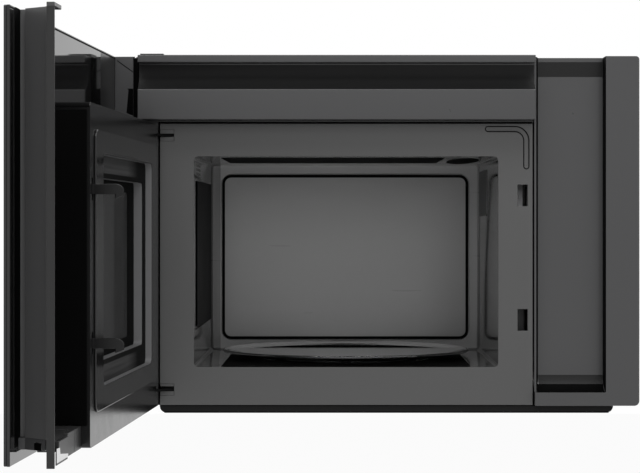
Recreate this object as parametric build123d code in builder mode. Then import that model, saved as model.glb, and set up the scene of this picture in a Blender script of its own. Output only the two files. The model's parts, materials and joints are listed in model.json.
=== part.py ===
from build123d import *
import os

# An over-the-range microwave oven of the 24-inch class, one solid for each piece.
#
# Millimetres. +Z is up, +Y is towards the wall and the front faces -Y. The origin is the centre of
# the flat back. Two measures are used throughout: heights, up from the bottom of the pan, and
# fronts, forward from the face plate that the door shuts against (a negative front is inside).
# The door is drawn shut, and each of its pieces is swung open on the hinge before it is written.

os.makedirs("parts", exist_ok=True)

# ---- Case ----
case_width = 606.0
case_height = 429.0
case_depth = 378.0  # from the wall to the face plate
sheet = 1.0  # case and cavity steel
moulding = 2.5  # wall of the plastic mouldings
case_corner = 4.0
case_right = case_width / 2
lip_height = 9.0  # the bezel, from the top of the case down
cove_height = 32.0
bezel_face_height = 36.0
bezel_lip_bottom = case_height - lip_height
bezel_face_top = bezel_lip_bottom - cove_height
bezel_bottom = bezel_face_top - bezel_face_height
pan_height = 9.5  # how far the pan hangs below the rest of the case
pan_half_width = 273.5
pan_corner = 8.0
pan_front = -4.0
pan_lip = 6.0  # how far the case's bottom flanges reach over the pan's rim
gap = 0.3  # running gap between pieces that move past each other

# ---- Face plate and cavity ----
plate_left = -273.0
plate_right = 176.0
plate_top = bezel_bottom - 3.4
plate_header = 39.6  # from the cavity's ceiling up to the plate's top edge
plate_sheet = 1.5
flange_depth = 10.0
cavity_left = -232.0
cavity_right = 134.4
cavity_bottom = 55.0
cavity_top = plate_top - plate_header
cavity_depth = 331.0
cavity_corner = 5.0
cavity_back_corner = 9.0
bead_width = 4.0  # the pressed groove round the cavity's back panel
bead_depth = 3.0
bead_inset = 15.0
bead_corner = 13.0
well_radius = 112.0  # pressed circle in the cavity floor, in which the rollers run
well_depth = 9.0
shaft_hole_radius = 8.0

# ---- Latch slots, shared by the face plate, the hooks and the interlocks ----
latch_slot_left = 158.0
latch_slot_right = 170.0
latch_slot_height = 26.0
upper_latch_height = cavity_top - 47.0  # middle of each slot
lower_latch_height = cavity_bottom + 57.0

# ---- Hinge ----
hinge_x = -280.8
hinge_front = 11.2
door_open_angle = 93.1
frame_bottom = 11.0
frame_top = bezel_bottom - 6.0
upper_hinge_height = frame_top - 11.5
lower_hinge_height = frame_bottom + 17.0
hinge_slot_height = 14.0
hinge_slot_right = -256.0

# ---- Top bezel ----
bezel_left = -297.0
bezel_right = 177.0
bezel_front = 29.0
cove_depth = 19.0

# ---- Control housing ----
housing_left = 178.0
housing_back = -20.0
housing_front = 11.0
recess_left = 180.5
recess_floor_left = 184.0
recess_right = 263.0
recess_floor = -17.0
recess_floor_bottom = 46.0
recess_sill = 25.5
housing_lower_corner = 6.0
housing_upper_corner = 4.0

# ---- Door ----
door_glass_left = -289.5
door_glass_right = 282.0
door_bottom = 6.0
glass_back = 57.8
trim_thickness = 3.0
glass_thickness = 3.0
frame_left = -274.0
frame_right = 176.0
frame_back = 3.2  # the side of the door that meets the face plate
frame_sheet = 1.2
cover_back = 1.2
cover_thickness = 2.0
cover_width = 404.0
cover_height = 278.0
step_depth = 8.0
window_step = 23.0
window_width = 322.0  # outermost step of the window recess
window_height = 232.0
pane_thickness = 3.0
screen_thickness = 0.6

# ---- Handle channel along the free edge ----
channel_tip = 302.0
channel_tip_back = 12.5
channel_tip_thickness = 7.5
channel_wall = 2.5
channel_root = 262.0
channel_lip = 248.0
channel_lip_front = 51.0
channel_seat = 236.0
channel_foot = 18.0
channel_seam = 29.0

# ---- Turntable ----
plate_radius = 157.0
plate_thickness = 4.0
plate_rim_height = 7.4
roller_radius = 7.0
roller_width = 6.0
roller_track = 95.0

cavity_width = cavity_right - cavity_left
cavity_height = cavity_top - cavity_bottom
cavity_x = (cavity_left + cavity_right) / 2
cavity_middle = (cavity_bottom + cavity_top) / 2
turntable_front = -cavity_depth / 2
base = -case_height / 2  # the height datum, in Z


def y_at(front):
    """The Y of a distance in front of the face plate."""
    return -(case_depth + front)


def front_plane(front):
    """A plane facing the viewer: x is X and y is the height."""
    return Plane(origin=(0, y_at(front), base), x_dir=(1, 0, 0), z_dir=(0, -1, 0))


def plan_plane(height):
    """A level plane at a height: x is X and y is Y."""
    return Plane.XY.offset(base + height)


def side_plane(x):
    """A plane facing +X: x is Y and y is the height."""
    return Plane(origin=(x, 0, base), x_dir=(0, 1, 0), z_dir=(1, 0, 0))


def slab(x0, x1, h0, h1, f0, f1, mode=Mode.ADD):
    """A square-edged block between two X, two heights and two fronts."""
    with Locations(((x0 + x1) / 2, (y_at(f0) + y_at(f1)) / 2, base + (h0 + h1) / 2)):
        Box(x1 - x0, f1 - f0, h1 - h0, mode=mode)


def panel(x0, x1, h0, h1, f0, f1, corner, mode=Mode.ADD):
    """A block with the four corners that the viewer sees rounded."""
    with BuildSketch(front_plane(f0)) as outline:
        with Locations(((x0 + x1) / 2, (h0 + h1) / 2)):
            RectangleRounded(x1 - x0, h1 - h0, corner)
    extrude(outline.sketch, amount=f1 - f0, mode=mode)


def disc(x, front, h0, h1, radius, mode=Mode.ADD):
    """An upright cylinder between two heights."""
    with Locations((x, y_at(front), base + (h0 + h1) / 2)):
        Cylinder(radius, h1 - h0, mode=mode)


def rod(x0, x1, height, front, radius, mode=Mode.ADD):
    """A cylinder along X."""
    with Locations(((x0 + x1) / 2, y_at(front), base + height)):
        Cylinder(radius, x1 - x0, rotation=(0, 90, 0), mode=mode)


def stub(x, height, f0, f1, radius, mode=Mode.ADD):
    """A cylinder square to the face plate."""
    with Locations((x, (y_at(f0) + y_at(f1)) / 2, base + height)):
        Cylinder(radius, f1 - f0, rotation=(90, 0, 0), mode=mode)


# ---- Openings in the case's top, shared with what fills them ----
outlet_width = 254.0  # a 3 1/4 x 10 inch duct
outlet_depth = 82.5
outlet_front = -case_depth + 75.0
outlet_height = 20.0
cabinet_bolt_spacing = 400.0
cabinet_bolt_radius = 3.5
cabinet_bolt_front = -90.0
bushing_x = 255.0
bushing_front = -320.0
bushing_radius = 11.0
strip_left = -297.0
strip_right = -269.0
strip_height = 4.0

with BuildPart() as cabinet_wrap:
    with BuildSketch(front_plane(-case_depth)):
        with Locations((0, (pan_height + case_height) / 2)):
            RectangleRounded(case_width, case_height - pan_height, case_corner)
            RectangleRounded(
                case_width - 2 * sheet,
                case_height - pan_height - 2 * sheet,
                case_corner - sheet,
                mode=Mode.SUBTRACT,
            )
        with Locations((0, pan_height + sheet / 2)):
            Rectangle(2 * (pan_half_width - pan_lip), sheet, mode=Mode.SUBTRACT)
    extrude(amount=case_depth)
    slab(housing_left, case_right, 0, case_height, housing_back, 0, Mode.SUBTRACT)
    slab(-case_right + sheet, plate_left - 2, pan_height + sheet, bezel_bottom, -sheet, 0)
    slab(plate_left, 0, pan_height, pan_height + sheet, -plate_sheet, 0, Mode.SUBTRACT)
    slab(cavity_x - outlet_width / 2, cavity_x + outlet_width / 2,
         case_height - 2 * sheet, case_height + sheet,
         outlet_front - outlet_depth / 2, outlet_front + outlet_depth / 2, Mode.SUBTRACT)
    for bolt_x in (-cabinet_bolt_spacing / 2, cabinet_bolt_spacing / 2):
        disc(bolt_x, cabinet_bolt_front, case_height - 2 * sheet, case_height + sheet,
             cabinet_bolt_radius, Mode.SUBTRACT)
    disc(bushing_x, bushing_front, case_height - 2 * sheet, case_height + sheet,
         bushing_radius, Mode.SUBTRACT)
    slab(strip_left, strip_right, case_height, case_height + strip_height, -30, -2)
cabinet_wrap.part.label = "cabinet_wrap"
export_step(cabinet_wrap.part, "parts/cabinet_wrap.step")

# The rear panel closes the case, and hangs on two hooks of the wall plate.
hook_slot_spacing = 380.0
hook_slot_length = 40.0
hook_slot_width = 8.0
hook_slot_height = 40.0

with BuildPart() as rear_panel:
    panel(-case_right + sheet, case_right - sheet, pan_height + sheet, case_height - sheet,
          -case_depth, -case_depth + sheet, case_corner - sheet)
    with BuildSketch(front_plane(-case_depth)):
        with Locations((-hook_slot_spacing / 2, hook_slot_height), (hook_slot_spacing / 2, hook_slot_height)):
            SlotOverall(hook_slot_length, hook_slot_width)
    extrude(amount=sheet, mode=Mode.SUBTRACT)
rear_panel.part.label = "rear_panel"
export_step(rear_panel.part, "parts/rear_panel.step")

# ---- Bottom pan, grease filters and cooktop lamp ----
filter_width = 200.0
filter_length = 150.0
filter_thickness = 7.0
filter_x = 150.0
filter_front = -255.0
filter_ledge = 5.0
lens_half_width = 36.0
lens_front = -80.0
lens_length = 70.0

with BuildPart() as base_pan:
    with BuildSketch(front_plane(-case_depth + 6)) as pan_outline:
        with Locations((0, pan_height / 2)):
            Rectangle(2 * pan_half_width, pan_height)
        fillet(pan_outline.vertices().group_by(Axis.Y)[0], radius=pan_corner)
    extrude(amount=case_depth - 6 + pan_front)
    with BuildSketch(front_plane(-case_depth + 6 + sheet)) as pan_inside:
        with Locations((0, pan_height / 2 + sheet / 2)):
            Rectangle(2 * (pan_half_width - sheet), pan_height - sheet)
        fillet(pan_inside.vertices().group_by(Axis.Y)[0], radius=pan_corner - sheet)
    extrude(amount=case_depth - 6 + pan_front - 2 * sheet, mode=Mode.SUBTRACT)
    for middle in (-filter_x, filter_x):
        slab(middle - filter_width / 2 + filter_ledge, middle + filter_width / 2 - filter_ledge,
             -1, sheet + 1, filter_front - filter_length / 2 + filter_ledge,
             filter_front + filter_length / 2 - filter_ledge, Mode.SUBTRACT)
    slab(-lens_half_width, lens_half_width, -1, sheet + 1,
         lens_front - lens_length / 2, lens_front + lens_length / 2, Mode.SUBTRACT)
base_pan.part.label = "base_pan"
export_step(base_pan.part, "parts/base_pan.step")

for name, middle in (("grease_filter_left", -filter_x), ("grease_filter_right", filter_x)):
    # A pressed frame round a layered mesh, with a small pull at its front edge.
    with BuildPart() as grease_filter:
        low = sheet + gap
        slab(middle - filter_width / 2, middle + filter_width / 2, low, low + filter_thickness,
             filter_front - filter_length / 2, filter_front + filter_length / 2)
        for h0, h1 in ((low - 1, low + 2), (low + filter_thickness - 2, low + filter_thickness + 1)):
            slab(middle - filter_width / 2 + 8, middle + filter_width / 2 - 8, h0, h1,
                 filter_front - filter_length / 2 + 8, filter_front + filter_length / 2 - 8, Mode.SUBTRACT)
        slab(middle - 12, middle + 12, low - gap - sheet - 4, low,
             filter_front + filter_length / 2 - 7.5, filter_front + filter_length / 2 - 5.5)
    grease_filter.part.label = name
    export_step(grease_filter.part, f"parts/{name}.step")

with BuildPart() as lamp_lens:
    slab(-lens_half_width + gap, lens_half_width - gap, 0, sheet,
         lens_front - lens_length / 2 + gap, lens_front + lens_length / 2 - gap)
    slab(-lens_half_width - 4, lens_half_width + 4, sheet, sheet + 1.5,
         lens_front - lens_length / 2 - 4, lens_front + lens_length / 2 + 4)
lamp_lens.part.label = "lamp_lens"
export_step(lamp_lens.part, "parts/lamp_lens.step")

with BuildPart() as cooktop_lamp:
    slab(-lens_half_width, lens_half_width, sheet + 1.5, pan_height - 1,
         lens_front - lens_length / 2, lens_front + lens_length / 2)
    slab(-lens_half_width + 2, lens_half_width - 2, sheet + 1, pan_height - 3,
         lens_front - lens_length / 2 + 2, lens_front + lens_length / 2 - 2, Mode.SUBTRACT)
    with Locations((0, y_at(lens_front), base + pan_height - 3.5)):
        with GridLocations(24, 24, 3, 2):
            Box(6, 6, 1)
cooktop_lamp.part.label = "cooktop_lamp"
export_step(cooktop_lamp.part, "parts/cooktop_lamp.step")

# ---- Face plate ----
bead_height = plate_top - 6.6  # the pressed groove in the plate's upper right corner
bead_right = plate_right - 7.5
bead_left = bead_right - 46.2
bead_foot = bead_height - 45.0
bead_bend = 14.0
plate_bead_width = 7.0
press = 1.0

with BuildPart() as face_plate:
    slab(plate_left, plate_right, pan_height, plate_top, -plate_sheet, 0)
    slab(plate_left, plate_left + plate_sheet, pan_height + sheet, plate_top,
         -plate_sheet - flange_depth, -plate_sheet)
    slab(plate_right - plate_sheet, plate_right, pan_height, plate_top,
         -plate_sheet - flange_depth, -plate_sheet)
    slab(-pan_half_width + pan_lip, plate_right, pan_height, pan_height + plate_sheet,
         -plate_sheet - flange_depth, -plate_sheet)
    slab(plate_left, plate_right, plate_top - plate_sheet, plate_top,
         -plate_sheet - flange_depth, -plate_sheet)
    with BuildSketch(front_plane(-plate_sheet - press)):
        with BuildLine() as bead_path:
            FilletPolyline((bead_left, bead_height), (bead_right, bead_height),
                           (bead_right, bead_foot), radius=bead_bend)
        trace(line_width=plate_bead_width + 2 * press)
    extrude(amount=press)
    with BuildSketch(front_plane(-press)):
        add(bead_path.line)
        trace(line_width=plate_bead_width)
    extrude(amount=press, mode=Mode.SUBTRACT)
    panel(cavity_left, cavity_right, cavity_bottom, cavity_top, -plate_sheet, 0,
          cavity_corner, Mode.SUBTRACT)
    for middle in (upper_latch_height, lower_latch_height):
        slab(latch_slot_left, latch_slot_right, middle - latch_slot_height / 2,
             middle + latch_slot_height / 2, -plate_sheet, 0, Mode.SUBTRACT)
    for middle in (upper_hinge_height, lower_hinge_height):
        slab(plate_left, hinge_slot_right, middle - hinge_slot_height / 2,
             middle + hinge_slot_height / 2, -plate_sheet - flange_depth, 0, Mode.SUBTRACT)
face_plate.part.label = "face_plate"
export_step(face_plate.part, "parts/face_plate.step")

# The rail above the face plate carries the bezel, and air for the room passes through it.
rail_bottom = plate_top + 2
rail_louvre_height = 46.0
rail_louvre_width = 96.0

with BuildPart() as front_rail:
    panel(-case_right + sheet, bezel_right, rail_bottom, case_height - sheet,
          -2 * sheet, -sheet, case_corner - sheet)
    slab(-case_right + sheet, bezel_right, rail_bottom, rail_bottom + sheet, -30, -2 * sheet)
    with Locations(((bezel_left + bezel_right) / 2, y_at(-1.5 * sheet),
                    base + (bezel_bottom + case_height) / 2)):
        with GridLocations(rail_louvre_width + 14, 1, 4, 1):
            Box(rail_louvre_width, 2 * sheet, rail_louvre_height, mode=Mode.SUBTRACT)
front_rail.part.label = "front_rail"
export_step(front_rail.part, "parts/front_rail.step")

# ---- Cavity liner ----
left_panel_front = -24.0
left_panel_back = -cavity_depth + 39.0
left_panel_bottom = cavity_bottom + 43.0
left_panel_top = cavity_top - 29.0
left_panel_press = 2.0
coupling_top = cavity_top - 18.0
coupling_bottom = coupling_top - 46.0
coupling_front = -200.0
coupling_back = -290.0

with BuildPart() as cavity_liner:
    panel(cavity_left - sheet, cavity_right + sheet, cavity_bottom - sheet, cavity_top + sheet,
          -cavity_depth - sheet, -plate_sheet, cavity_corner + sheet)
    fillet(cavity_liner.faces().sort_by(Axis.Y)[-1].edges(), radius=cavity_back_corner + sheet - 5.5)
    offset(amount=-sheet, openings=cavity_liner.faces().sort_by(Axis.Y)[0])
    for across, mode, f0, f1 in (
        (bead_width + 2 * sheet, Mode.ADD, -cavity_depth - bead_depth - sheet, -cavity_depth - sheet / 2),
        (bead_width, Mode.SUBTRACT, -cavity_depth - bead_depth, -cavity_depth),
    ):
        with BuildSketch(front_plane(f0)) as ring:
            with Locations((cavity_x, cavity_middle)):
                RectangleRounded(cavity_width - 2 * bead_inset + across,
                                 cavity_height - 2 * bead_inset + across, bead_corner + across / 2)
                RectangleRounded(cavity_width - 2 * bead_inset - across,
                                 cavity_height - 2 * bead_inset - across, bead_corner - across / 2,
                                 mode=Mode.SUBTRACT)
        extrude(amount=f1 - f0, mode=mode)
    disc(cavity_x, turntable_front, cavity_bottom - well_depth - sheet, cavity_bottom - sheet / 2,
         well_radius + sheet)
    disc(cavity_x, turntable_front, cavity_bottom - well_depth, cavity_bottom + 1,
         well_radius, Mode.SUBTRACT)
    disc(cavity_x, turntable_front, cavity_bottom - well_depth - 2 * sheet, cavity_bottom,
         shaft_hole_radius, Mode.SUBTRACT)
    slab(cavity_left - sheet - left_panel_press, cavity_left - sheet / 2,
         left_panel_bottom - sheet, left_panel_top + sheet, left_panel_back - sheet, left_panel_front + sheet)
    slab(cavity_left - left_panel_press, cavity_left, left_panel_bottom, left_panel_top,
         left_panel_back, left_panel_front, Mode.SUBTRACT)
    with BuildSketch(side_plane(cavity_left - 2 * sheet)):
        with Locations((y_at(-75), (left_panel_top + cavity_top) / 2)):
            with GridLocations(15, 5, 5, 3):
                Rectangle(11, 2.4)
    extrude(amount=3 * sheet, mode=Mode.SUBTRACT)
    slab(cavity_right - sheet, cavity_right + 2 * sheet, coupling_bottom, coupling_top,
         coupling_back, coupling_front, Mode.SUBTRACT)
cavity_liner.part.label = "cavity_liner"
export_step(cavity_liner.part, "parts/cavity_liner.step")

with BuildPart() as waveguide_cover:
    with BuildSketch(side_plane(cavity_right)):
        with Locations((y_at((coupling_front + coupling_back) / 2), (coupling_bottom + coupling_top) / 2)):
            RectangleRounded(coupling_front - coupling_back + 40, coupling_top - coupling_bottom + 14, 4)
    extrude(amount=-0.8)
waveguide_cover.part.label = "waveguide_cover"
export_step(waveguide_cover.part, "parts/waveguide_cover.step")

# ---- Vent bezel ----
with BuildPart() as vent_bezel:
    with BuildSketch(side_plane(bezel_left)) as bezel_outline:
        with BuildLine():
            Polyline((y_at(0), case_height), (y_at(0), bezel_bottom), (y_at(bezel_front), bezel_bottom),
                     (y_at(bezel_front), bezel_face_top))
            ThreePointArc((y_at(bezel_front), bezel_face_top),
                          (y_at(bezel_front - 0.78 * cove_depth), bezel_face_top + 9),
                          (y_at(bezel_front - cove_depth), bezel_lip_bottom))
            Polyline((y_at(bezel_front - cove_depth), bezel_lip_bottom),
                     (y_at(bezel_front), bezel_lip_bottom), (y_at(bezel_front), case_height),
                     (y_at(0), case_height))
        make_face()
    extrude(amount=bezel_right - bezel_left)
    with BuildSketch(side_plane(bezel_left + moulding)):
        offset(bezel_outline.sketch_local, amount=-moulding)
    extrude(amount=bezel_right - bezel_left - 2 * moulding, mode=Mode.SUBTRACT)
    slab(bezel_left + moulding, bezel_right - moulding, bezel_bottom + moulding, case_height - moulding,
         0, moulding, Mode.SUBTRACT)
    front_edges = vent_bezel.edges().filter_by(Axis.X).filter_by_position(
        Axis.Y, y_at(bezel_front) - 0.1, y_at(bezel_front) + 0.1)
    fillet(front_edges, radius=1.2)
vent_bezel.part.label = "vent_bezel"
export_step(vent_bezel.part, "parts/vent_bezel.step")

# ---- Control housing, with the recess that takes the back of the door ----
with BuildPart() as control_housing:
    slab(housing_left, case_right, pan_height, case_height, housing_back, housing_front)
    fillet(control_housing.edges().filter_by(Axis.Y).group_by(Axis.X)[-1].sort_by(Axis.Z)[0],
           radius=housing_lower_corner)
    fillet(control_housing.edges().filter_by(Axis.Y).group_by(Axis.X)[-1].sort_by(Axis.Z)[-1],
           radius=housing_upper_corner)
    # the recess, open at the top, with a curved sill below
    with BuildSketch(side_plane(recess_left)):
        with BuildLine():
            Polyline((y_at(housing_front), recess_sill), (y_at(housing_front), case_height + 1),
                     (y_at(recess_floor), case_height + 1), (y_at(recess_floor), recess_floor_bottom))
            ThreePointArc((y_at(recess_floor), recess_floor_bottom),
                          (y_at(recess_floor + 5.5), recess_sill + 6.5),
                          (y_at(housing_front), recess_sill))
        make_face()
    extrude(amount=recess_right - recess_left, mode=Mode.SUBTRACT)
    # the left rim is level with the face plate, and slopes down to the floor of the recess
    slab(housing_left, recess_left, recess_sill, case_height, 0, housing_front, Mode.SUBTRACT)
    with BuildSketch(plan_plane(recess_sill + 4)):
        with BuildLine():
            Polyline((recess_left, y_at(recess_floor)), (recess_left, y_at(0)),
                     (recess_floor_left, y_at(recess_floor)), close=True)
        make_face()
    extrude(amount=case_height - recess_sill - 4)
    # hollow behind the shoulder and the sill
    slab(recess_right + moulding, case_right - moulding, pan_height + moulding, case_height - moulding,
         housing_back, housing_front - moulding, Mode.SUBTRACT)
    slab(housing_left + moulding, recess_right + moulding, pan_height + moulding, recess_sill - moulding,
         housing_back, housing_front - moulding, Mode.SUBTRACT)
control_housing.part.label = "control_housing"
export_step(control_housing.part, "parts/control_housing.step")

# ---- Hinge plates: a plate behind the face plate, and an arm out through its slot to the pin ----
arm_thickness = 2.5
eye_radius = 6.0
pin_radius = 3.0
pin_clearance = 0.05
lug_thickness = 2.5

for name, height in (("hinge_plate_upper", upper_hinge_height), ("hinge_plate_lower", lower_hinge_height)):
    with BuildPart() as hinge_plate:
        low = height - arm_thickness / 2
        high = height + arm_thickness / 2
        slab(plate_left + plate_sheet + 0.5, cavity_left - 6, height - 13, height + 10,
             -plate_sheet - 2.5, -plate_sheet)
        with BuildSketch(plan_plane(low)):
            with BuildLine():
                Polyline((plate_left + plate_sheet + 0.5, y_at(-plate_sheet - 2.5)),
                         (plate_left + plate_sheet + 0.5, y_at(0)),
                         (hinge_x - eye_radius, y_at(hinge_front)),
                         (hinge_x, y_at(hinge_front + eye_radius)),
                         (hinge_slot_right - 2, y_at(0)),
                         (hinge_slot_right - 2, y_at(-plate_sheet - 2.5)), close=True)
            make_face()
            with Locations((hinge_x, y_at(hinge_front))):
                Circle(eye_radius)
                Circle(pin_radius + pin_clearance, mode=Mode.SUBTRACT)
        extrude(amount=arm_thickness)
    hinge_plate.part.label = name
    export_step(hinge_plate.part, f"parts/{name}.step")

# ---- Door interlocks, behind the latch slots ----
bracket_left = 148.0
bracket_right = 173.0
bracket_back = -52.0
bracket_bottom = lower_latch_height - 28.0
bracket_top = upper_latch_height + 30.0
bracket_wall = 2.0
switch_depth = 11.0
switch_length = 28.0
switch_width = 7.0
hook_reach = -27.5
lever_pivot_height = lower_latch_height - 22.0
lever_front = -33.0
lever_length = 36.0

with BuildPart() as interlock_bracket:
    slab(bracket_left, bracket_right, bracket_bottom, bracket_top, bracket_back, -plate_sheet)
    slab(bracket_left + bracket_wall, bracket_right - bracket_wall, bracket_bottom + bracket_wall,
         bracket_top - bracket_wall, bracket_back + bracket_wall, -plate_sheet, Mode.SUBTRACT)
    # a ledge under each slot, that the hook passes over
    for middle in (upper_latch_height, lower_latch_height):
        slab(bracket_left + bracket_wall, bracket_right - bracket_wall,
             middle - latch_slot_height / 2 - 5, middle - latch_slot_height / 2 - 1, -16, -plate_sheet)
interlock_bracket.part.label = "interlock_bracket"
export_step(interlock_bracket.part, "parts/interlock_bracket.step")

with BuildPart() as interlock_switches:
    for x, height, front in (
        (164.0, upper_latch_height, bracket_back + bracket_wall),
        (154.0, lower_latch_height + 34, bracket_back + bracket_wall),
        (164.0, lower_latch_height + 4, bracket_back + bracket_wall),
    ):
        slab(x - switch_width / 2, x + switch_width / 2, height - switch_length / 2,
             height + switch_length / 2, front, front + switch_depth)
        slab(x - 1.5, x + 1.5, height - 3, height + 3, front + switch_depth, front + switch_depth + 1.5)
interlock_switches.part.label = "interlock_switches"
export_step(interlock_switches.part, "parts/interlock_switches.step")

# The lever stands on its pin in front of the lowest switch, and tips back as the door shuts.
with BuildPart() as interlock_lever:
    rod(bracket_left + bracket_wall + gap, bracket_right - bracket_wall - gap,
        lever_pivot_height, lever_front, 2.5)
    slab(160, 168, lever_pivot_height, lever_pivot_height + lever_length, lever_front - 1, lever_front + 1)
interlock_lever.part.label = "interlock_lever"
export_step(interlock_lever.part, "parts/interlock_lever.step")

# ---- Microwave supply, in the bay behind the control housing ----
guide_width = 30.0
guide_top = coupling_top + 9.0
guide_front = coupling_front + 8
guide_back = coupling_back - 8
magnetron_height = 182.0
guide_bottom = magnetron_height - 32.0
magnetron_x = cavity_right + sheet + guide_width
yoke_length = 72.0
yoke_half_depth = 42.0
yoke_half_height = 30.0
anode_radius = 19.0
fin_count = 5
fin_pitch = 8.0
antenna_radius = 8.0
guide_middle = (guide_front + guide_back) / 2

with BuildPart() as waveguide:
    slab(cavity_right + sheet, magnetron_x, guide_bottom, guide_top, guide_back, guide_front)
    slab(cavity_right + sheet, magnetron_x - sheet, guide_bottom + sheet, guide_top - sheet,
         guide_back + sheet, guide_front - sheet, Mode.SUBTRACT)
    rod(magnetron_x - 2 * sheet, magnetron_x + sheet, magnetron_height, guide_middle,
        antenna_radius + 2, Mode.SUBTRACT)
waveguide.part.label = "waveguide"
export_step(waveguide.part, "parts/waveguide.step")

with BuildPart() as magnetron:
    slab(magnetron_x, magnetron_x + 2, magnetron_height - yoke_half_height,
         magnetron_height + yoke_half_height, guide_middle - yoke_half_depth, guide_middle + yoke_half_depth)
    slab(magnetron_x + yoke_length - 2, magnetron_x + yoke_length, magnetron_height - yoke_half_height,
         magnetron_height + yoke_half_height, guide_middle - yoke_half_depth, guide_middle + yoke_half_depth)
    for h0 in (magnetron_height - yoke_half_height, magnetron_height + yoke_half_height - 2):
        slab(magnetron_x, magnetron_x + yoke_length, h0, h0 + 2,
             guide_middle - yoke_half_depth, guide_middle + yoke_half_depth)
    rod(magnetron_x, magnetron_x + yoke_length, magnetron_height, guide_middle, anode_radius)
    for i in range(fin_count):
        fin_x = magnetron_x + yoke_length / 2 + (i - (fin_count - 1) / 2) * fin_pitch
        slab(fin_x - 0.5, fin_x + 0.5, magnetron_height - yoke_half_height + 1,
             magnetron_height + yoke_half_height - 1,
             guide_middle - yoke_half_depth + 3, guide_middle + yoke_half_depth - 3)
    rod(magnetron_x - 22, magnetron_x, magnetron_height, guide_middle, antenna_radius)
    slab(magnetron_x + yoke_length, magnetron_x + yoke_length + 26, magnetron_height - 22,
         magnetron_height + 22, guide_middle - 24, guide_middle + 24)
magnetron.part.label = "magnetron"
export_step(magnetron.part, "parts/magnetron.step")

bay_left = cavity_right + sheet + 10
bay_right = case_right - sheet
bay_floor = pan_height + sheet
transformer_x = 242.0
transformer_front = -110.0
core_half_width = 48.0
core_height = 70.0
core_half_depth = 28.0
capacitor_front = -190.0
capacitor_height = 88.0
terminal_height = 10.0
terminal_thickness = 1.0

with BuildPart() as transformer_core:
    slab(transformer_x - core_half_width, transformer_x + core_half_width, bay_floor, bay_floor + core_height,
         transformer_front - core_half_depth, transformer_front + core_half_depth)
    for x in (transformer_x - 22, transformer_x + 22):
        slab(x - 8, x + 8, bay_floor + 16, bay_floor + 54, transformer_front - core_half_depth - 1,
             transformer_front + core_half_depth + 1, Mode.SUBTRACT)
transformer_core.part.label = "transformer_core"
export_step(transformer_core.part, "parts/transformer_core.step")

# Two windings, one above the other on the core's middle leg.
with BuildPart() as transformer_windings:
    for h0, h1 in ((bay_floor + 17, bay_floor + 34), (bay_floor + 36, bay_floor + 53)):
        with BuildSketch(plan_plane(h0)):
            with Locations((transformer_x, y_at(transformer_front))):
                RectangleRounded(58, 84, 10)
                Rectangle(28.6, 56.6, mode=Mode.SUBTRACT)
        extrude(amount=h1 - h0)
transformer_windings.part.label = "transformer_windings"
export_step(transformer_windings.part, "parts/transformer_windings.step")

with BuildPart() as hv_capacitor:
    with BuildSketch(plan_plane(bay_floor)):
        with Locations((transformer_x, y_at(capacitor_front))):
            SlotOverall(54, 34)
    extrude(amount=capacitor_height)
    for x in (transformer_x - 12, transformer_x + 12):
        slab(x - 3, x + 3, bay_floor + capacitor_height, bay_floor + capacitor_height + terminal_height,
             capacitor_front - terminal_thickness / 2, capacitor_front + terminal_thickness / 2)
hv_capacitor.part.label = "hv_capacitor"
export_step(hv_capacitor.part, "parts/hv_capacitor.step")

board_middle = bezel_bottom - 32.0
board_half_height = 70.0
board_back = -180.0
board_front = -50.0

with BuildPart() as relay_board:
    slab(bay_right - 8, bay_right - 6.4, board_middle - board_half_height,
         board_middle + board_half_height, board_back, board_front)
    for height in (board_middle - board_half_height + 14, board_middle + board_half_height - 14):
        for front in (board_back + 10, board_front - 10):
            rod(bay_right - 6.4, bay_right, height, front, 3)
    for height, front, across in (
        (board_middle - 40, board_front - 30, 18), (board_middle - 40, board_front - 60, 18),
        (board_middle, board_front - 40, 26), (board_middle + 40, board_back + 30, 20),
    ):
        slab(bay_right - 8 - across, bay_right - 8, height - 12, height + 12,
             front - across / 2, front + across / 2)
relay_board.part.label = "relay_board"
export_step(relay_board.part, "parts/relay_board.step")

# ---- Cooling fan, in a shroud at the back of the bay ----
fan_x = 222.0
fan_height = 182.0
fan_radius = 46.0
fan_hub_radius = 13.0
fan_setback = 46.0  # from the wall to the middle of the blades
fan_front = -case_depth + fan_setback
shroud_back = fan_front - 14.0
shroud_foot = 20.0
fan_motor_length = 28.0

with BuildPart() as fan_shroud:
    slab(bay_left, bay_right, fan_height - 62, fan_height + 62, shroud_back, shroud_back + 2)
    stub(fan_x, fan_height, shroud_back, fan_front + 9, fan_radius + 5)
    stub(fan_x, fan_height, shroud_back + 2, fan_front + 9, fan_radius + 3, Mode.SUBTRACT)
    # an open grid of four spokes behind the blades carries the motor
    with BuildSketch(front_plane(shroud_back)):
        with Locations((fan_x, fan_height)):
            with PolarLocations(0, 4, start_angle=45):
                with Locations((fan_radius * 0.66, 0)):
                    Rectangle(32, 26)
    extrude(amount=2, mode=Mode.SUBTRACT)
    stub(fan_x, fan_height, shroud_back - 1, shroud_back + 3, 2.5, Mode.SUBTRACT)
    for height in (fan_height - 62, fan_height + 60):
        slab(bay_left, bay_right, height, height + 2, shroud_back - shroud_foot, shroud_back)
fan_shroud.part.label = "fan_shroud"
export_step(fan_shroud.part, "parts/fan_shroud.step")

with BuildPart() as fan_motor:
    stub(fan_x, fan_height, shroud_back - fan_motor_length, shroud_back, 19)
    stub(fan_x, fan_height, shroud_back, fan_front + 2, 2)
fan_motor.part.label = "fan_motor"
export_step(fan_motor.part, "parts/fan_motor.step")

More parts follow.
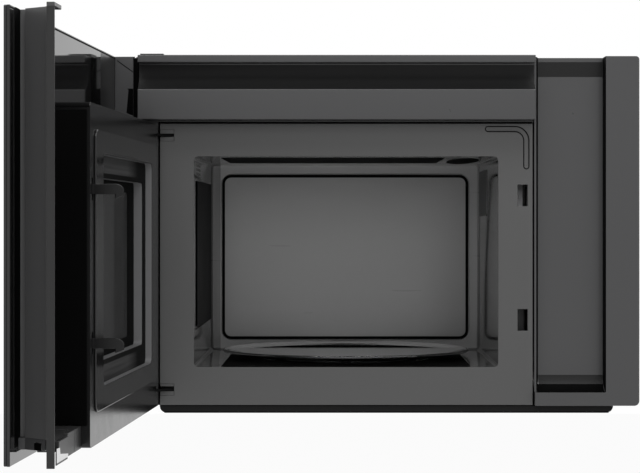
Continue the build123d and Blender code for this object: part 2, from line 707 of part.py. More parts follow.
# Five blades set at an angle round a hub.
with BuildPart() as cooling_fan:
    stub(fan_x, fan_height, fan_front - 7, fan_front + 6, fan_hub_radius)
    with Locations(Location((fan_x, y_at(fan_front), base + fan_height))):
        for blade in range(5):
            with Locations(Location((0, 0, 0), (0, blade * 72, 0))):
                with Locations(Location(((fan_radius + fan_hub_radius) / 2 - 1, 0, 0), (32, 0, 0))):
                    Box(fan_radius - fan_hub_radius + 2, 1.6, 20)
    stub(fan_x, fan_height, fan_front - 8, fan_front + 2 + gap, 2.05, Mode.SUBTRACT)
cooling_fan.part.label = "cooling_fan"
export_step(cooling_fan.part, "parts/cooling_fan.step")

# ---- Ventilation blower, above the cavity: one motor turns a squirrel-cage wheel at each end ----
blower_height = case_height - 58.0
blower_front = outlet_front + 18
blower_x = cavity_x
motor_half = 34.0
wheel_length = 62.0
wheel_radius = 38.0
wheel_gap = 6.0
blade_count = 18
blade_depth = 7.0
scroll_radius = 47.0
scroll_wall = 1.5
shaft_radius = 3.0
blower_floor = cavity_top + sheet + 6

with BuildPart() as blower_motor:
    rod(blower_x - motor_half, blower_x + motor_half, blower_height, blower_front, 33)
    rod(blower_x - motor_half - 4, blower_x + motor_half + 4, blower_height, blower_front, 12)
    slab(blower_x - 26, blower_x + 26, blower_floor, blower_height - 20, blower_front - 22, blower_front + 22)
    rod(blower_x - motor_half - 5, blower_x + motor_half + 5, blower_height, blower_front,
        shaft_radius + 0.05, Mode.SUBTRACT)
blower_motor.part.label = "blower_motor"
export_step(blower_motor.part, "parts/blower_motor.step")

wheel_inner = motor_half + wheel_gap
wheel_outer = wheel_inner + wheel_length
with BuildPart() as blower_shaft:
    rod(blower_x - wheel_outer - 4, blower_x + wheel_outer + 4, blower_height, blower_front, shaft_radius)
blower_shaft.part.label = "blower_shaft"
export_step(blower_shaft.part, "parts/blower_shaft.step")

with BuildPart() as blower_wheels:
    for side in (-1, 1):
        near = blower_x + side * wheel_inner
        far = blower_x + side * wheel_outer
        rod(min(near, near + side * 2), max(near, near + side * 2), blower_height, blower_front, wheel_radius)
        rod(min(near, near + side * 14), max(near, near + side * 14), blower_height, blower_front, 8)
        with BuildSketch(side_plane(min(near, far))):
            with Locations((y_at(blower_front), blower_height)):
                with PolarLocations(wheel_radius - blade_depth / 2, blade_count):
                    Rectangle(blade_depth, 1.2, rotation=35)
        extrude(amount=wheel_length)
        with BuildSketch(side_plane(min(far, far - side * 2))):
            with Locations((y_at(blower_front), blower_height)):
                Circle(wheel_radius + 0.5)
                Circle(wheel_radius - blade_depth, mode=Mode.SUBTRACT)
        extrude(amount=2)
    rod(blower_x - wheel_outer - 5, blower_x + wheel_outer + 5, blower_height, blower_front,
        shaft_radius, Mode.SUBTRACT)
blower_wheels.part.label = "blower_wheels"
export_step(blower_wheels.part, "parts/blower_wheels.step")

# Each scroll opens upwards into the outlet, and takes its air at both ends.
scroll_back = outlet_front - outlet_depth / 2 + 1
with BuildPart() as blower_housing:
    for side in (-1, 1):
        near = blower_x + side * (wheel_inner - 3)
        far = blower_x + side * (wheel_outer + 3)
        low_x = min(near, far)
        length = abs(far - near)
        with BuildSketch(side_plane(low_x)):
            with Locations((y_at(blower_front), blower_height)):
                Circle(scroll_radius)
            with Locations((y_at((blower_front + scroll_radius + scroll_back) / 2),
                            (blower_height + case_height - sheet) / 2)):
                Rectangle(blower_front + scroll_radius - scroll_back, case_height - sheet - blower_height)
        extrude(amount=length)
        with BuildSketch(side_plane(low_x + scroll_wall)):
            with Locations((y_at(blower_front), blower_height)):
                Circle(scroll_radius - scroll_wall)
            with Locations((y_at((blower_front + scroll_radius + scroll_back) / 2),
                            (blower_height + case_height) / 2)):
                Rectangle(blower_front + scroll_radius - scroll_back - 2 * scroll_wall,
                          case_height - blower_height)
        extrude(amount=length - 2 * scroll_wall, mode=Mode.SUBTRACT)
        rod(low_x - 1, low_x + length + 1, blower_height, blower_front,
            wheel_radius - blade_depth, Mode.SUBTRACT)
    # a tray under both scrolls stands on the cavity and carries the motor's foot
    slab(blower_x - wheel_outer - 3, blower_x + wheel_outer + 3, blower_floor - 1.5, blower_floor,
         blower_front - scroll_radius + 6, blower_front + scroll_radius - 6)
    for x in (blower_x - wheel_outer + 10, blower_x + wheel_outer - 10):
        slab(x - 12, x + 12, blower_floor, blower_height - scroll_radius + 3,
             blower_front - 18, blower_front + 18)
        slab(x - 12, x + 12, cavity_top + sheet, blower_floor - 1.5,
             blower_front - 18, blower_front + 18)
blower_housing.part.label = "blower_housing"
export_step(blower_housing.part, "parts/blower_housing.step")

# ---- Exhaust collar on the top, with its damper flap ----
collar_wall = 1.2
flap_pin_radius = 1.5
flap_front = outlet_front - outlet_depth / 2 + 6
flap_height = case_height + 8.0

with BuildPart() as exhaust_collar:
    slab(cavity_x - outlet_width / 2 - 8, cavity_x + outlet_width / 2 + 8, case_height, case_height + 1.5,
         outlet_front - outlet_depth / 2 - 8, outlet_front + outlet_depth / 2 + 8)
    slab(cavity_x - outlet_width / 2, cavity_x + outlet_width / 2, case_height, case_height + outlet_height,
         outlet_front - outlet_depth / 2, outlet_front + outlet_depth / 2)
    slab(cavity_x - outlet_width / 2 + collar_wall, cavity_x + outlet_width / 2 - collar_wall,
         case_height - 1, case_height + outlet_height + 1,
         outlet_front - outlet_depth / 2 + collar_wall, outlet_front + outlet_depth / 2 - collar_wall,
         Mode.SUBTRACT)
    rod(cavity_x - outlet_width, cavity_x + outlet_width, flap_height, flap_front,
        flap_pin_radius + 0.1, Mode.SUBTRACT)
exhaust_collar.part.label = "exhaust_collar"
export_step(exhaust_collar.part, "parts/exhaust_collar.step")

with BuildPart() as damper_flap:
    rod(cavity_x - outlet_width / 2, cavity_x + outlet_width / 2, flap_height, flap_front, flap_pin_radius)
    slab(cavity_x - outlet_width / 2 + 2 * collar_wall, cavity_x + outlet_width / 2 - 2 * collar_wall,
         flap_height - 0.5, flap_height + 0.5, flap_front, outlet_front + outlet_depth / 2 - 3)
damper_flap.part.label = "damper_flap"
export_step(damper_flap.part, "parts/damper_flap.step")

# ---- Smaller pieces of the case ----
with BuildPart() as charcoal_filter:
    slab(bezel_left + 20, bezel_right - 20, rail_bottom + sheet, case_height - 10, -14, -2 * sheet)
    slab(bezel_left + 26, bezel_right - 26, rail_bottom + 8, case_height - 16, -5, -2 * sheet, Mode.SUBTRACT)
charcoal_filter.part.label = "charcoal_filter"
export_step(charcoal_filter.part, "parts/charcoal_filter.step")

lamp_height = (left_panel_top + cavity_top) / 2
with BuildPart() as cavity_lamp:
    slab(cavity_left - sheet - 22, cavity_left - sheet, lamp_height - 13, lamp_height + 13, -120, -30)
    slab(cavity_left - sheet - 20, cavity_left - sheet, lamp_height - 11, lamp_height + 11,
         -118, -32, Mode.SUBTRACT)
    rod(cavity_left - sheet - 21, cavity_left - sheet - 4, lamp_height, -75, 6)
cavity_lamp.part.label = "cavity_lamp"
export_step(cavity_lamp.part, "parts/cavity_lamp.step")

well_floor = cavity_bottom - well_depth
plate_bottom = well_floor + gap + 2 * roller_radius + gap
coupler_radius = 15.0
turntable_motor_height = 20.0
with BuildPart() as turntable_motor:
    disc(cavity_x, turntable_front, well_floor - sheet - turntable_motor_height, well_floor - sheet, 28)
    slab(cavity_x - 34, cavity_x + 34, well_floor - sheet - 2, well_floor - sheet,
         turntable_front - 10, turntable_front + 10)
    disc(cavity_x, turntable_front, well_floor - sheet - 12, well_floor, shaft_hole_radius - 1, Mode.SUBTRACT)
turntable_motor.part.label = "turntable_motor"
export_step(turntable_motor.part, "parts/turntable_motor.step")

with BuildPart() as turntable_coupler:
    disc(cavity_x, turntable_front, well_floor - sheet - 11, well_floor + 2, shaft_hole_radius - 1.5)
    disc(cavity_x, turntable_front, well_floor + 1, plate_bottom - 3, coupler_radius - 6)
    for turn in range(3):
        with Locations(Location((cavity_x, y_at(turntable_front), base + plate_bottom - 3),
                                (0, 0, 120 * turn))):
            with Locations((coupler_radius / 2, 0, 0)):
                Box(coupler_radius, 7, 6)
turntable_coupler.part.label = "turntable_coupler"
export_step(turntable_coupler.part, "parts/turntable_coupler.step")

# The plate is turned from one profile, with a raised rim and a drive ring under its middle.
with BuildPart() as turntable_plate:
    with BuildSketch(Plane(origin=(cavity_x, y_at(turntable_front), base + plate_bottom), z_dir=(0, -1, 0),
                           x_dir=(1, 0, 0))):
        with BuildLine():
            Polyline((0, 1), (0, plate_thickness + 1), (plate_radius - 16, plate_thickness + 1))
            Polyline((plate_radius - 16, plate_thickness + 1), (plate_radius - 7, plate_thickness + 2),
                     (plate_radius, plate_rim_height), (plate_radius + 1, plate_rim_height - 2),
                     (plate_radius - 8, 0), (plate_radius - 30, 0), (coupler_radius + 14, 0),
                     (coupler_radius + 12, 1), (0, 1))
        make_face()
    revolve(axis=Axis((cavity_x, y_at(turntable_front), 0), (0, 0, 1)))
    for turn in range(3):
        with Locations(Location((cavity_x, y_at(turntable_front), base + plate_bottom - 1.4),
                                (0, 0, 120 * turn + 60))):
            with Locations((coupler_radius - 3 + gap, 0, 0)):
                Box(6, 6, 5)
turntable_plate.part.label = "turntable_plate"
export_step(turntable_plate.part, "parts/turntable_plate.step")

roller_height = well_floor + gap + roller_radius
axle_radius = 2.0
ring_half_width = 4.0
with BuildPart() as roller_ring:
    with BuildSketch(plan_plane(roller_height - 2)):
        with Locations((cavity_x, y_at(turntable_front))):
            Circle(roller_track - roller_width / 2 - 1)
            Circle(roller_track - roller_width / 2 - 1 - 2 * ring_half_width, mode=Mode.SUBTRACT)
    extrude(amount=4)
    for turn in range(3):
        with Locations(Location((cavity_x, y_at(turntable_front), base + roller_height),
                                (0, 0, 120 * turn + 30))):
            with Locations((roller_track - 1, 0, 0)):
                Cylinder(axle_radius, 13, rotation=(0, 90, 0))
roller_ring.part.label = "roller_ring"
export_step(roller_ring.part, "parts/roller_ring.step")

for turn in range(3):
    with BuildPart() as roller_wheel:
        spot = Location((cavity_x, y_at(turntable_front), base + roller_height), (0, 0, 120 * turn + 30))
        with Locations(spot * Location((roller_track, 0, 0))):
            Cylinder(roller_radius, roller_width, rotation=(0, 90, 0))
            Cylinder(axle_radius + 0.08, roller_width + 1, rotation=(0, 90, 0), mode=Mode.SUBTRACT)
    roller_wheel.part.label = f"roller_wheel_{turn + 1}"
    export_step(roller_wheel.part, f"parts/roller_wheel_{turn + 1}.step")

with BuildPart() as cord_bushing:
    disc(bushing_x, bushing_front, case_height - sheet - 3, case_height + 2, bushing_radius)
    disc(bushing_x, bushing_front, case_height, case_height + 2, bushing_radius + 3)
    disc(bushing_x, bushing_front, case_height - sheet - 4, case_height + 3, 5, Mode.SUBTRACT)
cord_bushing.part.label = "cord_bushing"
export_step(cord_bushing.part, "parts/cord_bushing.step")

# Screws through the back edge of the wrap and round the exhaust collar.
screw_radius = 4.0
screw_head = 1.8
with BuildPart() as case_screws:
    for height in (60, case_height / 2, bezel_face_top):
        rod(-case_right - screw_head, -case_right, height, -case_depth + 12, screw_radius)
        rod(case_right, case_right + screw_head, height, -case_depth + 12, screw_radius)
    for x in (cavity_x - outlet_width / 2 - 4, cavity_x + outlet_width / 2 + 4):
        disc(x, outlet_front, case_height + 1.5, case_height + 1.5 + screw_head, 3.5)
case_screws.part.label = "case_screws"
export_step(case_screws.part, "parts/case_screws.step")

# ---- Door, drawn shut ----
door_swing = Axis((hinge_x, y_at(hinge_front), 0), (0, 0, 1))
trim_front = glass_back + trim_thickness
glass_front = trim_front + glass_thickness
window_left = cavity_x - window_width / 2
window_right = cavity_x + window_width / 2
window_low = cavity_middle - window_height / 2
window_high = cavity_middle + window_height / 2


def save_on_door(piece, label):
    """Swing a piece of the shut door open about the hinge, name it and write it."""
    swung = piece.rotate(door_swing, -door_open_angle)
    swung.label = label
    export_step(swung, f"parts/{label}.step")


with BuildPart() as glass_trim:
    slab(door_glass_left, door_glass_right, door_bottom, case_height, glass_back, trim_front)
    panel(window_left + window_step, window_right - window_step, window_low + window_step,
          window_high - window_step, glass_back, trim_front, 6, Mode.SUBTRACT)
save_on_door(glass_trim.part, "glass_trim")

with BuildPart() as door_glass:
    slab(door_glass_left, door_glass_right, door_bottom, case_height, trim_front, glass_front)
    fillet(door_glass.edges().filter_by(Axis.Y), radius=2)
save_on_door(door_glass.part, "door_glass")

# The choke frame is a tray, open towards the glass, that holds the window and the hinges.
frame_face = frame_back + frame_sheet
hinge_notch_half = 7.0
hinge_notch_front = 19.0
hook_travel = 5.0
hook_left = 160.0
hook_right = 166.0
hook_neck_half = 5.0
hook_head_drop = 9.6
hook_head_length = 8.0

with BuildPart() as choke_frame:
    panel(frame_left, frame_right, frame_bottom, frame_top, frame_back, glass_back, 5)
    panel(frame_left + frame_sheet, frame_right - frame_sheet, frame_bottom + frame_sheet,
          frame_top - frame_sheet, frame_face, glass_back, 5 - frame_sheet, Mode.SUBTRACT)
    panel(window_left - cover_thickness - 1, window_right + cover_thickness + 1,
          window_low - cover_thickness - 1, window_high + cover_thickness + 1,
          frame_back, frame_face, 12, Mode.SUBTRACT)
    for middle in (upper_hinge_height, lower_hinge_height):
        slab(frame_left, hinge_slot_right - 2, middle - hinge_notch_half, middle + hinge_notch_half,
             frame_back, hinge_notch_front, Mode.SUBTRACT)
    for middle in (upper_latch_height, lower_latch_height):
        slab(hook_left - 1.5, hook_right + 1.5, middle - hook_head_drop - 1,
             middle + hook_neck_half + hook_travel + 1, frame_back, frame_face, Mode.SUBTRACT)
save_on_door(choke_frame.part, "choke_frame")

# The cover stands just proud of the frame, and steps down twice to the window.
first_tread = cover_back + step_depth
second_tread = first_tread + step_depth
cover_left = cavity_x - cover_width / 2
cover_right = cavity_x + cover_width / 2
cover_low = cavity_middle - cover_height / 2
cover_high = cavity_middle + cover_height / 2

with BuildPart() as choke_cover:
    panel(cover_left, cover_right, cover_low, cover_high, cover_back, frame_back, 12)
    panel(window_left - cover_thickness, window_right + cover_thickness, window_low - cover_thickness,
          window_high + cover_thickness, cover_back, first_tread + cover_thickness, 11)
    panel(window_left, window_right, window_low, window_high, cover_back, first_tread, 9, Mode.SUBTRACT)
    panel(window_left + window_step - cover_thickness, window_right - window_step + cover_thickness,
          window_low + window_step - cover_thickness, window_high - window_step + cover_thickness,
          first_tread, second_tread + cover_thickness, 8)
    panel(window_left + window_step, window_right - window_step, window_low + window_step,
          window_high - window_step, cover_back, second_tread + cover_thickness, 6, Mode.SUBTRACT)
save_on_door(choke_cover.part, "choke_cover")

pane_back = second_tread + cover_thickness
pane_front = pane_back + pane_thickness
for name, f0, f1 in (("inner_window", pane_back, pane_front),
                     ("window_screen", pane_front, pane_front + screen_thickness)):
    with BuildPart() as pane:
        panel(window_left + window_step - 5, window_right - window_step + 5,
              window_low + window_step - 5, window_high - window_step + 5, f0, f1, 5)
    save_on_door(pane.part, name)

# The handle is a bent strip: a flange behind the free edge, and a pocket for the fingers in front of it.
rail_right = 243.0
rail_top = 33.0
rail_back = 12.0
pocket_back = channel_tip_back + 17.5
top_cap_length = 32.0
top_cap_height = 4.0
flange_foot_left = channel_root + 22

with BuildPart() as handle_channel:
    with BuildSketch(plan_plane(channel_seam)):
        with BuildLine():
            Polyline((channel_tip, y_at(channel_tip_back + channel_tip_thickness)),
                     (channel_root + 10, y_at(channel_tip_back + 12)),
                     (channel_root, y_at(pocket_back)),
                     (channel_lip, y_at(channel_lip_front)),
                     (channel_seat + channel_wall, y_at(channel_lip_front)),
                     (channel_seat + channel_wall, y_at(glass_back)),
                     (channel_seat, y_at(glass_back)),
                     (channel_seat, y_at(channel_lip_front - channel_wall)),
                     (channel_lip - 2, y_at(channel_lip_front - channel_wall)),
                     (channel_root - 2.5, y_at(pocket_back - 2)),
                     (channel_root + 6, y_at(channel_tip_back + 9)),
                     (channel_tip - 6, y_at(channel_tip_back + 1)),
                     (channel_tip, y_at(channel_tip_back)), close=True)
        make_face()
    extrude(amount=case_height - channel_seam)
    slab(channel_tip - top_cap_length, channel_tip + 1, case_height - top_cap_height, case_height,
         channel_tip_back - 1, pocket_back, Mode.SUBTRACT)
    # the flange alone runs on to the bottom of the door
    with BuildSketch(plan_plane(door_bottom + 1)):
        with BuildLine():
            Polyline((channel_tip, y_at(channel_tip_back + channel_tip_thickness)),
                     (flange_foot_left, y_at(channel_tip_back + 10.2)),
                     (flange_foot_left, y_at(channel_tip_back + 5.2)),
                     (channel_tip - 6, y_at(channel_tip_back + 1)),
                     (channel_tip, y_at(channel_tip_back)), close=True)
        make_face()
    extrude(amount=channel_seam - door_bottom - 1)
save_on_door(handle_channel.part, "handle_channel")

# The top cap closes the flange. The bottom cap closes the pocket, and has a notch for a screwdriver.
notch_back = pocket_back + 3
notch_width = 7.0
notch_height = 7.5

with BuildPart() as channel_caps:
    slab(channel_tip - top_cap_length, channel_tip, case_height - top_cap_height, case_height,
         channel_tip_back, channel_tip_back + channel_tip_thickness)
    with BuildSketch(plan_plane(channel_foot)):
        with BuildLine():
            Polyline((channel_root, y_at(pocket_back)), (channel_lip, y_at(channel_lip_front)),
                     (channel_lip, y_at(glass_back)), (rail_right + gap, y_at(glass_back)),
                     (rail_right + gap, y_at(pocket_back)), close=True)
        make_face()
    extrude(amount=channel_seam - channel_foot)
    slab(channel_lip, channel_root, channel_foot, channel_foot + notch_height,
         notch_back, notch_back + notch_width, Mode.SUBTRACT)
save_on_door(channel_caps.part, "channel_caps")

# The end wall on the hinge side is cut back beside the bezel, to swing past it.
end_wall_thickness = 2.0
end_wall_back = 13.0
end_wall_step = bezel_front + 6.5
with BuildPart() as end_wall:
    with BuildSketch(side_plane(door_glass_left)):
        with BuildLine():
            Polyline((y_at(glass_back), door_bottom), (y_at(glass_back), case_height),
                     (y_at(end_wall_step), case_height), (y_at(end_wall_step), bezel_bottom - 2),
                     (y_at(end_wall_back), bezel_bottom - 8),
                     (y_at(end_wall_back), door_bottom), close=True)
        make_face()
    extrude(amount=end_wall_thickness)
save_on_door(end_wall.part, "end_wall")

# The rail ties the foot of the flange to the frame: a box, a tongue from it, and a thin web below that.
tongue_bottom = 21.0
tongue_top = 30.0
tongue_thickness = 4.5
web_thickness = 1.0
rail_seam_x = 210.0
rail_seam_width = 1.2

with BuildPart() as bottom_rail:
    slab(frame_right, rail_right, frame_bottom, rail_top, rail_back, rail_back + tongue_thickness)
    slab(frame_right, rail_seam_x, frame_bottom, rail_top, rail_back, glass_back - 10)
    slab(frame_right + moulding, rail_seam_x - moulding, frame_bottom + moulding, rail_top - moulding,
         rail_back + moulding, glass_back - 10, Mode.SUBTRACT)
    slab(rail_right, flange_foot_left, tongue_bottom, tongue_top, rail_back, rail_back + tongue_thickness)
    slab(rail_right, channel_tip - 6, frame_bottom - 2, tongue_bottom, rail_back, rail_back + web_thickness)
    slab(rail_seam_x, rail_seam_x + rail_seam_width, frame_bottom, rail_top,
         rail_back, rail_back + 1.5, Mode.SUBTRACT)
save_on_door(bottom_rail.part, "bottom_rail")

# The cover of the user interface has a side wall that lies against the frame.
cover_pocket_back = 44.0
board_seat = 52.0

with BuildPart() as ui_cover:
    slab(frame_right, channel_seat - gap, rail_top, frame_top, cover_pocket_back, glass_back)
    slab(frame_right + moulding, channel_seat - gap - moulding, rail_top + moulding,
         frame_top - moulding, cover_pocket_back + moulding, glass_back, Mode.SUBTRACT)
    slab(frame_right, frame_right + moulding, rail_top, frame_top - 7, frame_face + 1.6, cover_pocket_back)
    for height in (rail_top + 30, frame_top - 30):
        stub((frame_right + channel_seat) / 2, height, cover_pocket_back + moulding, board_seat, 4)
save_on_door(ui_cover.part, "ui_cover")

with BuildPart() as ui_board:
    slab(frame_right + 6, channel_seat - 4, rail_top + 10, frame_top - 10, board_seat, board_seat + 1.6)
    for height in (110, 150, 190, 230):
        slab(frame_right + 18, frame_right + 42, height, height + 12, board_seat + 1.6, board_seat + 4)
save_on_door(ui_board.part, "ui_board")

# Each hinge has two lugs, above and below the eye of its arm, on a plate screwed to the frame.
with BuildPart() as hinge_lugs:
    for middle in (upper_hinge_height, lower_hinge_height):
        for low in (middle - arm_thickness / 2 - gap - lug_thickness, middle + arm_thickness / 2 + gap):
            with BuildSketch(plan_plane(low)) as lug_outline:
                with Locations((hinge_x, y_at(hinge_front))):
                    Circle(eye_radius)
                with Locations(((hinge_x - eye_radius + frame_left) / 2, y_at(hinge_front + 9))):
                    Rectangle(frame_left - hinge_x + eye_radius, 18)
                with Locations((hinge_x, y_at(hinge_front))):
                    Circle(pin_radius, mode=Mode.SUBTRACT)
            extrude(lug_outline.sketch, amount=lug_thickness)
        slab(frame_left - 2.5, frame_left, middle - 12, middle + 12,
             hinge_notch_front + 0.5, hinge_front + 18)
save_on_door(hinge_lugs.part, "hinge_lugs")

with BuildPart() as hinge_pins:
    for middle in (upper_hinge_height, lower_hinge_height):
        disc(hinge_x, hinge_front, middle - 6, middle + 6, pin_radius)
save_on_door(hinge_pins.part, "hinge_pins")

# Both hooks are on one carrier bar, which slides up inside the frame.
with BuildPart() as latch_hooks:
    slab(hook_left - 2, hook_right + 2, lower_latch_height - 22, upper_latch_height + 23,
         frame_face + gap, 12)
    for middle in (upper_latch_height, lower_latch_height):
        with BuildSketch(side_plane(hook_left)):
            with BuildLine():
                Polyline((y_at(-18), middle + hook_neck_half), (y_at(6), middle + hook_neck_half),
                         (y_at(6), middle - hook_neck_half),
                         (y_at(hook_reach + hook_head_length), middle - hook_neck_half),
                         (y_at(hook_reach + hook_head_length), middle - hook_head_drop),
                         (y_at(hook_reach), middle - hook_head_drop + 3),
                         (y_at(hook_reach), middle))
                ThreePointArc((y_at(hook_reach), middle), (y_at(-24.5), middle + 3.6),
                              (y_at(-18), middle + hook_neck_half))
            make_face()
        extrude(amount=hook_right - hook_left)
save_on_door(latch_hooks.part, "latch_hooks")
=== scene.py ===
import json
from math import pi, radians

import bmesh
import bpy
import numpy as np
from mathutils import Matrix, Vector


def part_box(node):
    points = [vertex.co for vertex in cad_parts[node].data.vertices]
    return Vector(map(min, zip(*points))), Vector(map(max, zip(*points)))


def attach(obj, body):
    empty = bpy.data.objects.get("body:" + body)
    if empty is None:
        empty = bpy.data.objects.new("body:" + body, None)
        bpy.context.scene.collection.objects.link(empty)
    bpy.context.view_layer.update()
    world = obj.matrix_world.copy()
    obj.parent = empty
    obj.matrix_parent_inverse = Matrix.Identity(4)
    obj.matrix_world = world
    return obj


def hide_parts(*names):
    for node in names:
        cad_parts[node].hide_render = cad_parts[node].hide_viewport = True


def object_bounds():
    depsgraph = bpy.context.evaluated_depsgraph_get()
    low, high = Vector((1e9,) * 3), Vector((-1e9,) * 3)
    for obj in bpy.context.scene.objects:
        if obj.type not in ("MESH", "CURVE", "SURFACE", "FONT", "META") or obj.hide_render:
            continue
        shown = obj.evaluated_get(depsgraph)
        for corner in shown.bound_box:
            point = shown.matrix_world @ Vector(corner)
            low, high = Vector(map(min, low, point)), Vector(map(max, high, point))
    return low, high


# An over-the-range microwave oven with its door open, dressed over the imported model.
# Metres, in the row frame: +Z up, +Y towards the wall, the front faces -Y.

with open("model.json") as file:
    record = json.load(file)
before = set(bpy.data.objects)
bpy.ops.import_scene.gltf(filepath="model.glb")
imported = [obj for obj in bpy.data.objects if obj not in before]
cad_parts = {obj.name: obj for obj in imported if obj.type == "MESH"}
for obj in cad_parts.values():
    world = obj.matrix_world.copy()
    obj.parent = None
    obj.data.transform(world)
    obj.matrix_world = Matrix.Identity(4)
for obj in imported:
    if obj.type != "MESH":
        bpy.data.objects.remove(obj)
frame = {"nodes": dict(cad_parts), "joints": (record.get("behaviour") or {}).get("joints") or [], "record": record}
nodes = frame["nodes"]
cad_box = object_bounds()

MM = 0.001


# ---- Places, taken from the frame ----
def low_high(name):
    """The lowest and highest corner of a CAD node, as arrays."""
    low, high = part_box(name)
    return np.array(low), np.array(high)


liner_low, liner_high = low_high("cavity_liner")
bezel_low, bezel_high = low_high("vent_bezel")
housing_low, housing_high = low_high("control_housing")
table_low, table_high = low_high("turntable_plate")
pan_low = low_high("base_pan")[0]
channel_low = low_high("handle_channel")[0]
wheel_low = low_high("roller_wheel_1")[0]
case_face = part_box("face_plate")[0][1]

# The cavity's inner planes: the liner's box holds its 1 mm sheet, the 2 mm pressed panel on the left,
# the 9 mm well under the turntable and the 3 mm groove in the back.
liner_sheet = 1 * MM
ceiling = liner_high[2] - liner_sheet
right_wall = liner_high[0] - liner_sheet
left_wall = liner_low[0] + liner_sheet + 2 * MM
cavity_floor = liner_low[2] + liner_sheet + 9 * MM
back_wall = liner_high[1] - liner_sheet - 3 * MM

hinge = next(joint for joint in frame["joints"] if joint["name"] == "door_hinge")
hinge_point = Vector(hinge["pos_m"])
door_open = radians(max(hinge["range_deg"]))


def turned_about_hinge(points, angle):
    """Points turned about the door's hinge, by an angle in radians, anticlockwise from above."""
    offset = points - np.array(hinge_point)
    x = offset[..., 0] * np.cos(angle) - offset[..., 1] * np.sin(angle)
    y = offset[..., 0] * np.sin(angle) + offset[..., 1] * np.cos(angle)
    return np.stack([x, y, offset[..., 2]], axis=-1) + np.array(hinge_point)


def on_door(places):
    """Places on the shut door, as (x, distance in front of the case's face, z) in millimetres, carried to
    where the open door has them: each is turned about the hinge by the opening angle."""
    places = np.asarray(places, float) * MM
    shut = np.stack([places[:, 0], case_face - places[:, 1], places[:, 2]], axis=-1)
    return turned_about_hinge(shut, -door_open)


def shut_box(name):
    """The box of a door node with the door shut, as two corners of such places."""
    vertices = nodes[name].data.vertices
    points = np.empty(3 * len(vertices))
    vertices.foreach_get("co", points)
    shut = turned_about_hinge(points.reshape(-1, 3), door_open)
    shut[:, 1] = case_face - shut[:, 1]
    return shut.min(axis=0) / MM, shut.max(axis=0) / MM


# ---- Shader maths ----
class Signal:
    """One socket of a node tree. Its operators add Math nodes."""

    def __init__(self, maker, socket):
        self.maker = maker
        self.socket = socket

    def combine(self, operation, first, second):
        return self.maker.node("ShaderNodeMath", {"operation": operation}, {0: first, 1: second})

    def __add__(self, other):
        return self.combine("ADD", self, other)

    def __radd__(self, other):
        return self.combine("ADD", other, self)

    def __sub__(self, other):
        return self.combine("SUBTRACT", self, other)

    def __rsub__(self, other):
        return self.combine("SUBTRACT", other, self)

    def __mul__(self, other):
        return self.combine("MULTIPLY", self, other)

    def __rmul__(self, other):
        return self.combine("MULTIPLY", other, self)

    def __gt__(self, other):
        return self.combine("GREATER_THAN", self, other)

    def __lt__(self, other):
        return self.combine("LESS_THAN", self, other)

    def either(self, other):
        """The larger of the two, which joins two masks into one."""
        return self.combine("MAXIMUM", self, other)


class NodeMaker:
    """Adds nodes to one tree, all by one method."""

    def __init__(self, tree):
        self.tree = tree

    def node(self, kind, settings=None, sockets=None, output=0):
        """Adds a node, with its settings first and then its sockets, and gives one of its outputs."""
        added = self.tree.nodes.new(kind)
        for setting, value in (settings or {}).items():
            setattr(added, setting, value)
        for socket, value in (sockets or {}).items():
            if isinstance(value, Signal):
                self.tree.links.new(value.socket, added.inputs[socket])
            else:
                added.inputs[socket].default_value = value
        return Signal(self, added.outputs[output])


class Finish(NodeMaker):
    """A material being built on one Principled shader, with constants set on its own sockets."""

    def __init__(self, name, colour, roughness, constants=None):
        self.material = bpy.data.materials.new(name)
        self.material.use_nodes = True
        super().__init__(self.material.node_tree)
        self.shader = self.tree.nodes["Principled BSDF"]
        self.shader.inputs["Base Color"].default_value = (*colour, 1.0)
        self.shader.inputs["Roughness"].default_value = roughness
        for socket_name, value in (constants or {}).items():
            self.shader.inputs[socket_name].default_value = value

    def position(self, turn=(0, 0, 0), stretch=(1, 1, 1), centre=(0, 0, 0)):
        """Object coordinates, moved to a centre, then turned, then stretched."""
        place = self.node("ShaderNodeTexCoord", output="Object")
        moved = self.node("ShaderNodeVectorMath", {"operation": "SUBTRACT"}, {0: place, 1: centre})
        return self.node("ShaderNodeMapping", {}, {"Vector": moved, "Rotation": turn, "Scale": stretch})

    def along(self, axis):
        """One object coordinate, in metres."""
        place = self.node("ShaderNodeTexCoord", output="Object")
        return self.node("ShaderNodeSeparateXYZ", {}, {"Vector": place}, output=axis)

    def noise(self, place, scale, detail=3.0, rough=0.55):
        """Soft cloudy noise from 0 to 1, with its scale in waves a metre."""
        return self.node("ShaderNodeTexNoise", {}, {"Vector": place, "Scale": scale, "Detail": detail,
                                                    "Roughness": rough})

    def between(self, factor, dark, light):
        """A colour between two, by a factor from 0 to 1."""
        return self.node("ShaderNodeMix", {"data_type": "RGBA"},
                         {"Factor": factor, 6: (*dark, 1.0), 7: (*light, 1.0)}, output=2)

    def feed(self, socket, signal):
        """Links a signal to one of the shader's sockets."""
        self.tree.links.new(signal.socket, self.shader.inputs[socket])

    def bump(self, height, distance, strength=1.0):
        """Raises the surface by a height signal, over a distance in metres."""
        raised = self.node("ShaderNodeBump", {},
                           {"Height": height, "Distance": distance, "Strength": strength}, output="Normal")
        self.feed("Normal", raised)


# ---- Finishes ----
def powder_paint(name, level, roughness, grain=900.0, depth=0.00003, variation=0.06):
    """Baked powder paint: an even grey with a fine pebbled skin."""
    finish = Finish(name, (level, level, level * 1.02), roughness)
    place = finish.position()
    broad = finish.noise(place, 7.0, 2.0)
    pebbles = finish.noise(place, grain, 2.0)
    darker = [level * (1 - variation)] * 3
    lighter = [level * (1 + variation)] * 3
    finish.feed("Base Color", finish.between(broad, darker, lighter))
    finish.feed("Roughness", roughness - 0.04 + broad * 0.08)
    finish.bump(pebbles, depth)
    return finish.material


